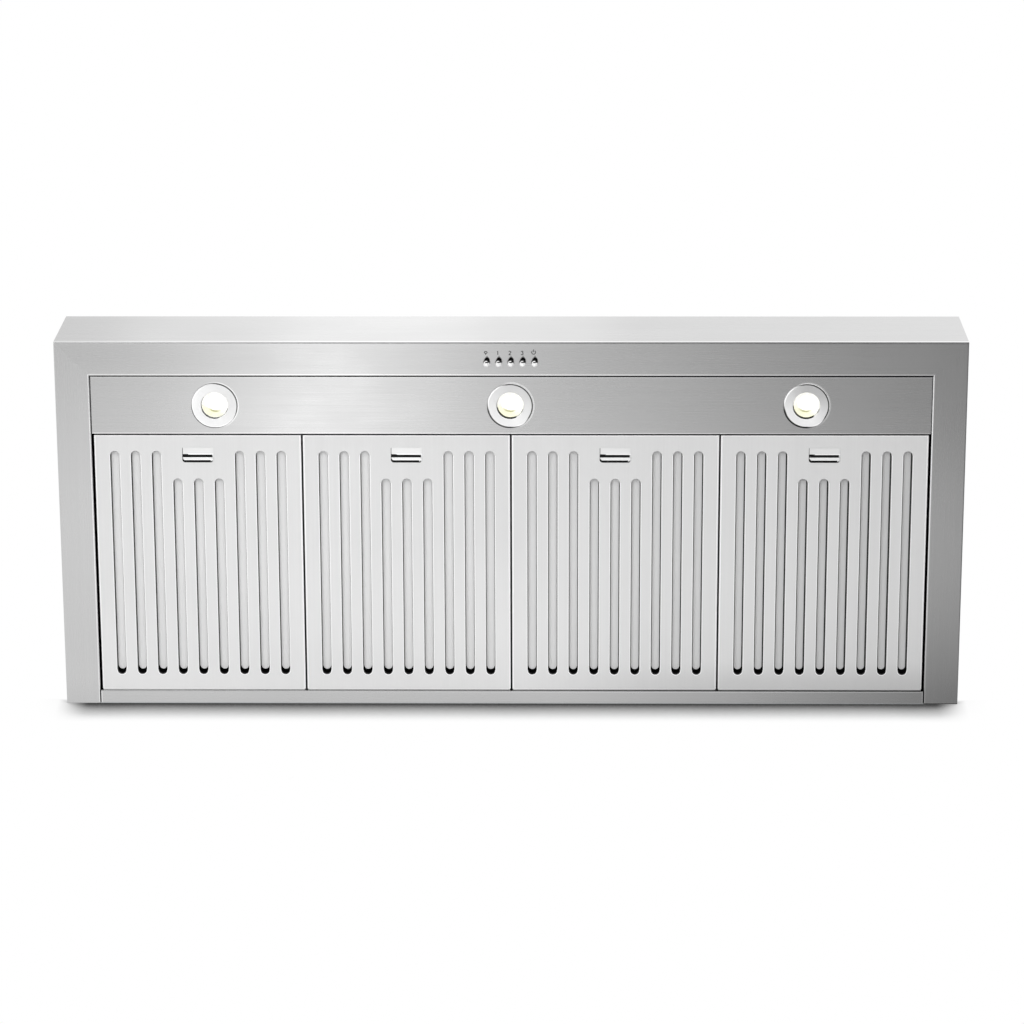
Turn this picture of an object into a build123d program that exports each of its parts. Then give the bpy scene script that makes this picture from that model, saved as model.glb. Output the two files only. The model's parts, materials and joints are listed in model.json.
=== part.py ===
from build123d import *
from math import cos, hypot, radians, sin
import os

# Wall-mounted pyramid range hood with three downlights, five push buttons and four hinged
# baffle filters. Sizes are in millimetres. The wall is the plane y = 0, the front faces -Y,
# and the underside that looks down on the cooktop lies on z = 0.

os.makedirs("parts", exist_ok=True)

# Canopy
hood_width = 1219.2
hood_depth = 510
hood_height = 457.2
lip_height = 142
top_width = 420
top_depth = 300
skin = 1.2
fold_radius = 1.8
seam = 0.3
mitre_past = 10
hip_past = 3
hip_reach = 12

# Underside frame and rear rail
flange_width = 46.4
return_height = 14
rail_width = 18.5
rail_leg = 26
hem_width = 10
rail_rivets = 8
rail_rivet_drop = 8

# Wall fixing and chimney fixing
wall_bolt_spacing_x = 406.4
wall_bolt_spacing_z = 230
wall_bolt_level = 290
wall_bolt_radius = 4
chimney_bolt_spacing_x = 380
chimney_bolt_spacing_y = 260
chimney_bolt_radius = 2.6

# Light panel
panel_length = 80.7
panel_recess = 2
panel_height = 14
panel_gap = 0.4
panel_fold = 1.5
screw_radius = 2
screw_clearance = 0.1
screw_head_radius = 3.6
screw_head_height = 2.2
screw_length = 4.2
screw_level = 9
front_screw_count = 4
front_screw_side = 113.2
side_screw_pitch = 40

# Downlights
light_count = 3
light_side = 167.2
trim_radius = 31.5
trim_rise = 2.4
trim_rim = 1.6
spigot_radius = 27.4
spigot_clearance = 0.5
spigot_length = 5
aperture_radius = 18.5
aperture_wall = 1.6
aperture_length = 9
lens_gap = 0.8
lens_recess = 4
lens_thickness = 4.2
lens_dome = 1.2
can_radius = 27
can_wall = 2
can_length = 28

# Push buttons
button_count = 5
button_pitch = 16
button_setback = 28
button_radius = 4.25
button_clearance = 0.35
button_reach = 8.5
button_dome = 0.8
button_edge = 1.2
button_travel = 3
stop_radius = 5.8
stop_thickness = 2
plunger_radius = 2.4
switch_width = 92
switch_depth = 28
switch_height = 27
switch_floor = 3
guide_clearance = 0.3
stop_gap = 0.2
case_radius = 3
case_edge = 1

# Baffle filters
filter_count = 4
filter_gap = 2.2
filter_side_gap = 3.2
filter_front_gap = 1.5
filter_sheet = 0.8
filter_height = 14.7
filter_seat = 0.4
filter_tongue = 6.5
filter_rear_gap = 1.2
filter_fold = 1
slot_count = 9
slot_side = 27.175
slot_width = 12
slot_front = 22.4
slot_rear = 22.2
short_slots = 3
short_slot_setback = 38.6
slot_edge = 0.5
land_height = 6
channel_gap = 4
channel_rise = 9.4
channel_leg = 5.4
channel_lead = 8
channel_short = 3.4
strap_width = 16
strap_thickness = 1.2
strap_count = 3
strap_edge = 22

# Filter latches
window_width = 42
window_length = 20.9
window_setback = 17.4
window_front_radius = 1.5
window_rear_radius = 4
latch_plate = 1.2
latch_gap = 0.2
latch_overlap = 2
latch_travel = 5
latch_margin = 2.6
latch_tail = 1.7
grip_length = 5.5
grip_gap = 1.8
grip_side_gap = 0.8
grip_drop = 2
grip_chamfer = 2.5
groove_length = 2
groove_inset = 3
tongue_width = 24
tongue_rise = 2.8
tongue_clearance = 0.5
guide_width = 18
guide_foot = 8
guide_gap = 0.3

# Blower
blower_setback = 215
blower_drop = 212.2
scroll_throat = 102
scroll_reach = 140
scroll_start = 90
scroll_end = 360
scroll_step = 30
housing_width = 200
housing_sheet = 1
outlet_plate_width = 232
outlet_plate_depth = 216
outlet_plate = 1.5
eye_radius = 84
bell_radius = 12
bell_flange = 16
bell_sheet = 1
wheel_radius = 96
wheel_width = 176
wheel_ring = 6
wheel_ring_width = 5
wheel_disc = 2
blade_count = 40
blade_depth = 16
blade_sheet = 1
blade_middle = 0.55
blade_bow = 0.12
blade_sweep = 5
hub_radius = 14
hub_length = 28
shaft_radius = 6
shaft_clearance = 0.05
shaft_tail = 14
shaft_end_gap = 1
shaft_chamfer = 1
motor_radius = 48
motor_length = 68
motor_edge = 5
motor_vents = 8
motor_vent_width = 5
motor_vent_depth = 4
shaft_seat = 54
bracket_plate = 3
bracket_arm = 16
bracket_hub = 40
bracket_hole = 14
bracket_stand = 9.5
bracket_reach = 108
bracket_post = 5
bracket_angles = (75, 195, 315)

# Duct collar and dampers
duct_radius = 100
duct_height = 50
duct_sheet = 1.2
duct_flange = 16
ledge_width = 4
damper_level = 16
axle_radius = 2
axle_spacing = 10
knuckle_radius = 3.6
knuckle_clearance = 0.08
knuckle_length = 26
knuckle_count = 3
knuckle_pitch = 66
flap_gap = 1.8
flap_sheet = 0.8
ledge_clearance = 1
collar_rivets = 8

# Electrical parts
box_width = 76
box_depth = 96
box_height = 44
box_wall = 1.2
box_x = 164
box_setback = 200
cover_lip = 6
gland_radius = 11
gland_clearance = 0.2
gland_bore = 5
gland_rise = 12
gland_drop = 9
gland_nut = 15
driver_width = 110
driver_depth = 40
driver_height = 26
driver_offset = 196
lead_radius = 2.5
switch_lead_radius = 3
lead_rise = 40
lead_tail = 6
lead_bend = 20
lead_stand = 7
lead_offset = 30
switch_lead_bend = 18

# Fasteners
bolt_radius = 2.5
bolt_clearance = 0.2
bolt_head_radius = 4.6
bolt_head_height = 3.5
bolt_nut_height = 4
bolt_spacing_x = 206
bolt_spacing_y = 192
bolt_reach = 3
rivet_radius = 1.6
rivet_head_radius = 3.2
rivet_head_height = 1.1
rivet_clearance = 0.05

# Canopy geometry
side_run = (hood_width - top_width) / 2
front_run = hood_depth - top_depth
slope_rise = hood_height - lip_height
side_level_thickness = skin * hypot(side_run, slope_rise) / slope_rise
front_level_thickness = skin * hypot(front_run, slope_rise) / slope_rise
opening_width = hood_width - 2 * flange_width
opening_depth = hood_depth - flange_width
collar_y = -top_depth / 2
top_plate_base = hood_height - skin


def half_width_at(level):
    return hood_width / 2 - side_run * (level - lip_height) / slope_rise


def depth_at(level):
    return hood_depth - front_run * (level - lip_height) / slope_rise


# Outer form of the canopy: a shallow box under a pyramid
with BuildPart() as canopy_form:
    with BuildSketch():
        Rectangle(hood_width, hood_depth, align=(Align.CENTER, Align.MAX))
    extrude(amount=lip_height)
    for level in (lip_height, hood_height):
        with BuildSketch(Plane.XY.offset(level)):
            Rectangle(2 * half_width_at(level), depth_at(level), align=(Align.CENTER, Align.MAX))
    loft()
    underside_edges = canopy_form.edges().group_by(Axis.Z)[0].sort_by(Axis.Y)
    fillet(underside_edges[:-1], fold_radius)

# Hollow of the canopy, one sheet inside the form, open at the wall and at the top
with BuildPart() as canopy_hollow:
    with BuildSketch(Plane.XY.offset(skin)):
        with Locations((0, skin)):
            Rectangle(hood_width - 2 * skin, hood_depth, align=(Align.CENTER, Align.MAX))
    extrude(amount=hood_height)
    floor_edges = canopy_hollow.edges().group_by(Axis.Z)[0].sort_by(Axis.Y)
    fillet(floor_edges[:-1], fold_radius - skin)
    for level in (0, hood_height + skin):
        with BuildSketch(Plane.XY.offset(level)):
            with Locations((0, skin)):
                Rectangle(
                    2 * (half_width_at(level) - side_level_thickness),
                    depth_at(level) - front_level_thickness + skin,
                    align=(Align.CENTER, Align.MAX),
                )
    loft(mode=Mode.INTERSECT)

# Folded skin with the flange frame round its underside and the upturned return inside it
with BuildPart() as canopy_skin:
    add(canopy_form.part)
    add(canopy_hollow.part, mode=Mode.SUBTRACT)
    with BuildSketch():
        with Locations((0, -skin)):
            Rectangle(
                opening_width + 2 * skin, opening_depth, align=(Align.CENTER, Align.MAX)
            )
    extrude(amount=return_height)
    with BuildSketch():
        with Locations((0, skin)):
            Rectangle(opening_width, opening_depth + skin, align=(Align.CENTER, Align.MAX))
    extrude(amount=return_height, mode=Mode.SUBTRACT)
    flange_edges = canopy_skin.edges().filter_by_position(Axis.Z, 0, 0).filter_by_position(
        Axis.X, -opening_width / 2, opening_width / 2
    )
    fillet(flange_edges, fold_radius)

# Wedge that takes the front sheet out of the skin: its corners are mitred at 45 degrees in
# the lip and the flange, and along the hips of the slopes above
mitre_reach = flange_width + 2 * skin
with BuildPart() as front_wedge:
    with BuildSketch():
        with BuildLine():
            Polyline(
                (-hood_width / 2 - mitre_past, -hood_depth - mitre_past),
                (hood_width / 2 + mitre_past, -hood_depth - mitre_past),
                (hood_width / 2 - mitre_reach, -hood_depth + mitre_reach),
                (-hood_width / 2 + mitre_reach, -hood_depth + mitre_reach),
                close=True,
            )
        make_face()
    extrude(amount=lip_height)
    for level in (lip_height, hood_height):
        outer_x = half_width_at(level) + hip_past * side_level_thickness
        outer_y = -depth_at(level) - hip_past * front_level_thickness
        inner_x = half_width_at(level) - hip_reach * side_level_thickness
        inner_y = -depth_at(level) + hip_reach * front_level_thickness
        with BuildSketch(Plane.XY.offset(level)):
            with BuildLine():
                Polyline(
                    (-outer_x, outer_y), (outer_x, outer_y), (inner_x, inner_y),
                    (-inner_x, inner_y), close=True,
                )
            make_face()
    loft()

# Planes and rows of the small fixings
button_y = -hood_depth + button_setback
panel_front = -opening_depth + panel_gap
panel_rear = panel_front + panel_length
panel_width = opening_width - 2 * panel_gap
front_screw_pitch = (opening_width - 2 * front_screw_side) / (front_screw_count - 1)
light_y = (panel_front + panel_rear) / 2
front_screw_plane = Plane(
    origin=(0, -opening_depth, screw_level), x_dir=(1, 0, 0), z_dir=(0, -1, 0)
)
side_screw_plane = Plane(origin=(0, light_y, screw_level), x_dir=(0, 1, 0), z_dir=(1, 0, 0))
rail_rivet_level = rail_leg - rail_rivet_drop
rail_rivet_plane = Plane(
    origin=(0, -2 * skin, rail_rivet_level), x_dir=(1, 0, 0), z_dir=(0, -1, 0)
)
rail_rivet_pitch = opening_width / rail_rivets

# Front panel: lip, slope and front flange, with the button holes
with BuildPart() as front_panel:
    add(canopy_skin.part)
    add(front_wedge.part, mode=Mode.INTERSECT)
    with BuildSketch():
        with Locations((0, button_y)):
            with GridLocations(button_pitch, 1, button_count, 1):
                Circle(button_radius + button_clearance)
    extrude(amount=skin, mode=Mode.SUBTRACT)
    with BuildSketch(front_screw_plane):
        with GridLocations(front_screw_pitch, 1, front_screw_count, 1):
            Circle(screw_radius + screw_clearance)
    extrude(amount=2 * skin, mode=Mode.SUBTRACT)
front_panel.part.label = "front_panel"
export_step(front_panel.part, "parts/front_panel.step")

# Side panels: lip, slope and side flange of each side
with BuildPart() as side_sheets:
    add(canopy_skin.part)
    add(front_wedge.part, mode=Mode.SUBTRACT)
    with BuildSketch(side_screw_plane):
        with GridLocations(side_screw_pitch, 1, 2, 1):
            Circle(screw_radius + screw_clearance)
    extrude(amount=opening_width / 2 + 2 * skin, both=True, mode=Mode.SUBTRACT)
left_sheet, right_sheet = side_sheets.solids().sort_by(Axis.X)
with BuildPart() as left_panel:
    add(left_sheet)
left_panel.part.label = "left_panel"
export_step(left_panel.part, "parts/left_panel.step")
with BuildPart() as right_panel:
    add(right_sheet)
right_panel.part.label = "right_panel"
export_step(right_panel.part, "parts/right_panel.step")

# Back panel, between the side sheets, with the wall bolt holes
inner_fold = lip_height - slope_rise * (side_level_thickness - skin) / side_run
back_half = hood_width / 2 - skin
back_top_half = top_width / 2 - side_level_thickness
tab_half = opening_width / 2 - seam
with BuildPart() as back_panel:
    with BuildSketch(Plane.XZ):
        with BuildLine():
            Polyline(
                (-tab_half, 0), (tab_half, 0), (tab_half, skin),
                (back_half - fold_radius, skin), (back_half, skin + fold_radius),
                (back_half, inner_fold), (back_top_half, hood_height),
                (-back_top_half, hood_height), (-back_half, inner_fold),
                (-back_half, skin + fold_radius), (-back_half + fold_radius, skin),
                (-tab_half, skin), close=True,
            )
        make_face()
        with Locations((0, wall_bolt_level)):
            with GridLocations(wall_bolt_spacing_x, wall_bolt_spacing_z, 2, 2):
                Circle(wall_bolt_radius, mode=Mode.SUBTRACT)
    extrude(amount=skin)
    with BuildSketch(rail_rivet_plane):
        with GridLocations(rail_rivet_pitch, 1, rail_rivets, 1):
            Circle(rivet_radius + rivet_clearance)
    extrude(amount=-2 * skin, mode=Mode.SUBTRACT)
back_panel.part.label = "back_panel"
export_step(back_panel.part, "parts/back_panel.step")

# Top plate, inside the upper edges of the four walls
plate_width = 2 * back_top_half
plate_front = -(top_depth - front_level_thickness)
box_y = -box_setback
with BuildPart() as top_plate:
    with BuildSketch(Plane.XY.offset(top_plate_base)):
        with Locations((0, -skin)):
            Rectangle(plate_width, -plate_front - skin, align=(Align.CENTER, Align.MAX))
        with Locations((0, collar_y)):
            Circle(duct_radius - duct_sheet, mode=Mode.SUBTRACT)
            with GridLocations(chimney_bolt_spacing_x, chimney_bolt_spacing_y, 2, 2):
                Circle(chimney_bolt_radius, mode=Mode.SUBTRACT)
            with GridLocations(bolt_spacing_x, bolt_spacing_y, 2, 2):
                Circle(bolt_radius + bolt_clearance, mode=Mode.SUBTRACT)
            with PolarLocations(duct_radius + duct_flange / 2, collar_rivets):
                Circle(rivet_radius + rivet_clearance, mode=Mode.SUBTRACT)
        with Locations((box_x, box_y)):
            Circle(gland_radius + gland_clearance, mode=Mode.SUBTRACT)
    extrude(amount=skin)
top_plate.part.label = "top_plate"
export_step(top_plate.part, "parts/top_plate.step")

# Rear rail: an angle with a closed hem along its front edge, which the filters hook over
hook_y = -rail_width + skin
hook_level = skin
with BuildPart() as rear_rail:
    with BuildSketch(Plane.YZ):
        with BuildLine():
            Polyline(
                (hook_y, 0), (-skin, 0), (-skin, rail_leg), (-2 * skin, rail_leg),
                (-2 * skin, skin), (hook_y + hem_width, skin), (hook_y + hem_width, 2 * skin),
                (hook_y, 2 * skin),
            )
            ThreePointArc((hook_y, 2 * skin), (hook_y - skin, hook_level), (hook_y, 0))
        make_face()
    extrude(amount=tab_half, both=True)
    with BuildSketch(rail_rivet_plane):
        with GridLocations(rail_rivet_pitch, 1, rail_rivets, 1):
            Circle(rivet_radius + rivet_clearance)
    extrude(amount=-2 * skin, mode=Mode.SUBTRACT)
rear_rail.part.label = "rear_rail"
export_step(rear_rail.part, "parts/rear_rail.step")

# Light panel: a tray between the returns, with light holes and one catch slot for each latch
filter_front = panel_rear + filter_front_gap
filter_width = (
    opening_width - 2 * filter_side_gap - (filter_count - 1) * filter_gap
) / filter_count
filter_pitch = filter_width + filter_gap
light_pitch = (opening_width - 2 * light_side) / (light_count - 1)
filter_places = [
    (index - (filter_count - 1) / 2) * filter_pitch for index in range(filter_count)
]
light_places = [(index - (light_count - 1) / 2) * light_pitch for index in range(light_count)]
face_level = 2 * skin + filter_seat
inside_level = face_level + filter_sheet
slider_level = inside_level + latch_gap
catch_level = slider_level + tongue_rise
catch_width = tongue_width + 2 * tongue_clearance
catch_height = latch_plate + 2 * tongue_clearance
with BuildPart() as light_panel:
    with BuildSketch(Plane.XY.offset(panel_recess)):
        with Locations((0, light_y)):
            Rectangle(panel_width, panel_length)
    extrude(amount=panel_height)
    fillet(light_panel.edges().group_by(Axis.Z)[0], panel_fold)
    with BuildSketch(Plane.XY.offset(panel_recess + skin)):
        with Locations((0, light_y)):
            Rectangle(panel_width - 2 * skin, panel_length - 2 * skin)
    extrude(amount=panel_height, mode=Mode.SUBTRACT)
    with BuildSketch(Plane.XY.offset(panel_recess)):
        with Locations((0, light_y)):
            with GridLocations(light_pitch, 1, light_count, 1):
                Circle(spigot_radius + spigot_clearance)
    extrude(amount=skin, mode=Mode.SUBTRACT)
    with BuildSketch(Plane(origin=(0, panel_rear, catch_level + latch_plate / 2),
                           x_dir=(1, 0, 0), z_dir=(0, -1, 0))):
        with GridLocations(filter_pitch, 1, filter_count, 1):
            Rectangle(catch_width, catch_height)
    extrude(amount=skin, mode=Mode.SUBTRACT)
    with BuildSketch(front_screw_plane):
        with GridLocations(front_screw_pitch, 1, front_screw_count, 1):
            Circle(screw_radius + screw_clearance)
    extrude(amount=-2 * skin, mode=Mode.SUBTRACT)
    with BuildSketch(side_screw_plane):
        with GridLocations(side_screw_pitch, 1, 2, 1):
            Circle(screw_radius + screw_clearance)
    extrude(amount=panel_width / 2, both=True, mode=Mode.SUBTRACT)
light_panel.part.label = "light_panel"
export_step(light_panel.part, "parts/light_panel.step")

# Screws that hold the light panel to the returns, heads inside the tray
with BuildPart() as light_panel_screws:
    with BuildSketch(Plane(origin=(0, panel_front + skin, screw_level),
                           x_dir=(1, 0, 0), z_dir=(0, -1, 0))) as front_screw_row:
        with GridLocations(front_screw_pitch, 1, front_screw_count, 1):
            Circle(screw_radius)
    extrude(amount=screw_length)
    with BuildSketch(front_screw_row.workplanes[0]):
        with GridLocations(front_screw_pitch, 1, front_screw_count, 1):
            Circle(screw_head_radius)
    extrude(amount=-screw_head_height)
    for side in (-1, 1):
        side_seat = Plane(
            origin=(side * (panel_width / 2 - skin), light_y, screw_level),
            x_dir=(0, 1, 0), z_dir=(side, 0, 0),
        )
        with BuildSketch(side_seat):
            with GridLocations(side_screw_pitch, 1, 2, 1):
                Circle(screw_radius)
        extrude(amount=screw_length)
        with BuildSketch(side_seat):
            with GridLocations(side_screw_pitch, 1, 2, 1):
                Circle(screw_head_radius)
        extrude(amount=-screw_head_height)
light_panel_screws.part.label = "light_panel_screws"
export_step(light_panel_screws.part, "parts/light_panel_screws.step")

# Downlights: a dished trim ring, a domed lens inside its throat, and the can behind them
lens_radius = aperture_radius - lens_gap
core_radius = lens_radius - aperture_wall
for number, light_x in enumerate(light_places, start=1):
    light_axis = Axis((light_x, light_y, panel_recess), (0, 0, 1))
    light_plane = Plane(
        origin=(light_x, light_y, panel_recess), x_dir=(1, 0, 0), z_dir=(0, -1, 0)
    )
    throat_outer = aperture_radius + aperture_wall

    with BuildPart() as light_trim:
        with BuildSketch(light_plane):
            with BuildLine():
                Line((trim_radius, 0), (trim_radius, trim_rim - trim_rise))
                RadiusArc(
                    (trim_radius, trim_rim - trim_rise),
                    (trim_radius - trim_rim, -trim_rise), trim_rim,
                )
                Polyline(
                    (trim_radius - trim_rim, -trim_rise), (aperture_radius, panel_fold),
                    (aperture_radius, aperture_length), (throat_outer, aperture_length),
                    (throat_outer, spigot_length), (spigot_radius, spigot_length),
                    (spigot_radius, 0), (trim_radius, 0),
                )
            make_face()
        revolve(axis=light_axis)
    light_trim.part.label = f"light_{number}_trim"
    export_step(light_trim.part, f"parts/light_{number}_trim.step")

    with BuildPart() as light_lens:
        with BuildSketch(light_plane):
            with BuildLine():
                ThreePointArc(
                    (0, lens_recess - lens_dome),
                    (lens_radius / 2, lens_recess - 0.75 * lens_dome),
                    (lens_radius, lens_recess),
                )
                Polyline(
                    (lens_radius, lens_recess), (lens_radius, lens_recess + lens_thickness),
                    (0, lens_recess + lens_thickness), (0, lens_recess - lens_dome),
                )
            make_face()
        revolve(axis=light_axis)
    light_lens.part.label = f"light_{number}_lens"
    export_step(light_lens.part, f"parts/light_{number}_lens.step")

    with BuildPart() as light_body:
        with BuildSketch(Plane.XY.offset(panel_recess + spigot_length)):
            with Locations((light_x, light_y)):
                Circle(can_radius)
        extrude(amount=can_length)
        with BuildSketch(Plane.XY.offset(panel_recess + spigot_length)):
            with Locations((light_x, light_y)):
                Circle(can_radius - can_wall)
        extrude(amount=can_length - can_wall, mode=Mode.SUBTRACT)
        with BuildSketch(Plane.XY.offset(panel_recess + lens_recess + lens_thickness)):
            with Locations((light_x, light_y)):
                Circle(core_radius)
        extrude(until=Until.LAST)
    light_body.part.label = f"light_{number}_body"
    export_step(light_body.part, f"parts/light_{number}_body.step")

# Push buttons: a domed chrome end, a shank through the flange, a stop collar and a plunger
button_places = [
    (index - (button_count - 1) / 2) * button_pitch for index in range(button_count)
]
stop_level = skin + switch_floor + stop_gap
plunger_top = stop_level + stop_thickness + button_travel
for number, button_x in enumerate(button_places, start=1):
    with BuildPart() as button:
        with BuildSketch(Plane(origin=(button_x, button_y, 0),
                               x_dir=(1, 0, 0), z_dir=(0, -1, 0))):
            with BuildLine():
                shoulder = button_radius - button_edge
                ThreePointArc(
                    (0, -button_reach), (shoulder / 2, -button_reach + button_dome / 4),
                    (shoulder, -button_reach + button_dome),
                )
                RadiusArc(
                    (shoulder, -button_reach + button_dome),
                    (button_radius, -button_reach + button_dome + button_edge), -button_edge,
                )
                Polyline(
                    (button_radius, -button_reach + button_dome + button_edge),
                    (button_radius, stop_level), (stop_radius, stop_level),
                    (stop_radius, stop_level + stop_thickness),
                    (plunger_radius, stop_level + stop_thickness),
                    (plunger_radius, plunger_top), (0, plunger_top), (0, -button_reach),
                )
            make_face()
        revolve(axis=Axis((button_x, button_y, 0), (0, 0, 1)))
    button.part.label = f"button_{number}"
    export_step(button.part, f"parts/button_{number}.step")

# Switch block: guides the five buttons and holds their switches
chamber_radius = stop_radius + guide_clearance
chamber_top = plunger_top + button_travel + stop_gap
with BuildPart() as switch_block:
    with BuildSketch(Plane.XY.offset(skin)):
        with Locations((0, button_y)):
            RectangleRounded(switch_width, switch_depth, case_radius)
    extrude(amount=switch_height)
    with BuildSketch(Plane.XY.offset(skin)):
        with Locations((0, button_y)):
            with GridLocations(button_pitch, 1, button_count, 1):
                Circle(button_radius + guide_clearance)
    extrude(amount=switch_floor, mode=Mode.SUBTRACT)
    with BuildSketch(Plane.XY.offset(skin + switch_floor)):
        with Locations((0, button_y)):
            with GridLocations(button_pitch, 1, button_count, 1):
                Circle(chamber_radius)
    extrude(amount=chamber_top - skin - switch_floor, mode=Mode.SUBTRACT)
    fillet(switch_block.faces().sort_by(Axis.Z)[-1].edges(), case_edge)
switch_block.part.label = "switch_block"
export_step(switch_block.part, "parts/switch_block.step")

# Baffle filters: a slotted pan, the channels behind its slots, and a sliding latch
filter_rear = -rail_width + filter_tongue
pan_rear = -rail_width - filter_rear_gap
pan_length = pan_rear - filter_front
pan_y = (filter_front + pan_rear) / 2
slot_start = filter_front + slot_front
slot_end = pan_rear - slot_rear
short_start = slot_start + short_slot_setback
slot_pitch = (filter_width - 2 * slot_side) / (slot_count - 1)
channel_width = slot_pitch - channel_gap
slot_offsets = [(index - (slot_count - 1) / 2) * slot_pitch for index in range(slot_count)]
short_reach = (short_slots - 1) / 2 * slot_pitch
window_front = filter_front + window_setback
window_rear = window_front + window_length
web_level = face_level + channel_rise
channel_end = slot_end - channel_short
slider_half = window_width / 2 + latch_overlap
slider_front = filter_front + filter_sheet + latch_travel + latch_margin
slider_rear = window_rear + latch_tail
grip_rear = window_rear - grip_gap
grip_front = grip_rear - grip_length
strap_places = [
    filter_front + strap_edge + index * (pan_length - 2 * strap_edge) / (strap_count - 1)
    for index in range(strap_count)
]


def slot_run(offset):
    start = short_start if abs(offset) <= short_reach else slot_start
    return start, slot_end


def channel_run(offset):
    start, _ = slot_run(offset)
    return start - channel_lead, channel_end


for number, filter_x in enumerate(filter_places, start=1):
    with BuildPart() as filter_frame:
        with BuildSketch(Plane.XY.offset(face_level)):
            with Locations((filter_x, pan_y)):
                Rectangle(filter_width, pan_length)
        extrude(amount=filter_height)
        fillet(filter_frame.edges().group_by(Axis.Z)[0], filter_fold)
        with BuildSketch(Plane.XY.offset(inside_level)):
            with Locations((filter_x, pan_y)):
                Rectangle(filter_width - 2 * filter_sheet, pan_length - 2 * filter_sheet)
        extrude(amount=filter_height, mode=Mode.SUBTRACT)
        with BuildSketch(Plane.XY.offset(face_level)):
            with Locations((filter_x, pan_rear - filter_fold - filter_sheet)):
                Rectangle(
                    filter_width - 2 * filter_fold,
                    filter_rear - pan_rear + filter_fold + filter_sheet,
                    align=(Align.CENTER, Align.MIN),
                )
        extrude(amount=filter_sheet)
        with BuildSketch(Plane.XY.offset(face_level)):
            for offset in slot_offsets:
                start, end = slot_run(offset)
                with Locations((filter_x + offset, (start + end) / 2)):
                    SlotOverall(
                        end - start + 2 * filter_sheet, slot_width + 2 * filter_sheet, 90
                    )
        extrude(amount=land_height)
        with BuildSketch(Plane.XY.offset(face_level)):
            for offset in slot_offsets:
                start, end = slot_run(offset)
                with Locations((filter_x + offset, (start + end) / 2)):
                    SlotOverall(end - start, slot_width, 90)
        extrude(amount=land_height, mode=Mode.SUBTRACT)
        slot_edges = filter_frame.edges().filter_by_position(
            Axis.Z, face_level, face_level
        ).filter_by_position(Axis.Y, slot_start, slot_end)
        fillet(slot_edges, slot_edge)
        with BuildSketch(Plane.XY.offset(face_level)) as window:
            with Locations((filter_x, (window_front + window_rear) / 2)):
                Rectangle(window_width, window_length)
            fillet(window.vertices().group_by(Axis.Y)[0], window_front_radius)
            fillet(window.vertices().group_by(Axis.Y)[-1], window_rear_radius)
        extrude(amount=filter_sheet, mode=Mode.SUBTRACT)
        with BuildSketch(Plane(origin=(filter_x, filter_front, catch_level + latch_plate / 2),
                               x_dir=(1, 0, 0), z_dir=(0, 1, 0))):
            Rectangle(catch_width, catch_height)
        extrude(amount=filter_sheet, mode=Mode.SUBTRACT)
    filter_frame.part.label = f"filter_{number}_frame"
    export_step(filter_frame.part, f"parts/filter_{number}_frame.step")

    with BuildPart() as filter_baffles:
        with BuildSketch(Plane.XY.offset(web_level - channel_leg + filter_sheet)):
            for offset in slot_offsets:
                start, end = channel_run(offset)
                with Locations((filter_x + offset, (start + end) / 2)):
                    Rectangle(channel_width, end - start)
        extrude(amount=channel_leg)
        with BuildSketch(Plane.XY.offset(web_level - channel_leg + filter_sheet)):
            for offset in slot_offsets:
                start, end = channel_run(offset)
                with Locations((filter_x + offset, (start + end) / 2)):
                    Rectangle(channel_width - 2 * filter_sheet, end - start)
        extrude(amount=channel_leg - filter_sheet, mode=Mode.SUBTRACT)
        with BuildSketch(Plane.XY.offset(web_level + filter_sheet)):
            for strap_y in strap_places:
                with Locations((filter_x, strap_y)):
                    Rectangle(filter_width - 2 * filter_sheet, strap_width)
        extrude(amount=strap_thickness)
    filter_baffles.part.label = f"filter_{number}_baffles"
    export_step(filter_baffles.part, f"parts/filter_{number}_baffles.step")

    with BuildPart() as filter_latch:
        with BuildSketch(Plane.XY.offset(slider_level)):
            with Locations((filter_x, slider_front)):
                Rectangle(
                    2 * slider_half, slider_rear - slider_front,
                    align=(Align.CENTER, Align.MIN),
                )
        extrude(amount=latch_plate)
        with BuildSketch(Plane.XY.offset(face_level - grip_drop + filter_sheet)) as grip:
            with Locations((filter_x, (grip_front + grip_rear) / 2)):
                Rectangle(window_width - 2 * grip_side_gap, grip_length)
            chamfer(grip.vertices().group_by(Axis.Y)[-1], grip_chamfer)
        extrude(amount=slider_level - face_level + grip_drop - filter_sheet)
        with BuildSketch(Plane.XY.offset(slider_level)):
            with Locations((filter_x, grip_front - groove_length)):
                Rectangle(
                    window_width - groove_inset, groove_length, align=(Align.CENTER, Align.MIN)
                )
        extrude(amount=latch_plate, mode=Mode.SUBTRACT)
        with BuildSketch(Plane.XY.offset(slider_level)):
            with Locations((filter_x, slider_front)):
                Rectangle(tongue_width, latch_plate, align=(Align.CENTER, Align.MIN))
        extrude(amount=tongue_rise)
        with BuildSketch(Plane.XY.offset(catch_level)):
            with Locations((filter_x, filter_front + seam)):
                Rectangle(
                    tongue_width, slider_front - filter_front - seam + latch_plate,
                    align=(Align.CENTER, Align.MIN),
                )
        extrude(amount=latch_plate)
    filter_latch.part.label = f"filter_{number}_latch"
    export_step(filter_latch.part, f"parts/filter_{number}_latch.step")

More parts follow.
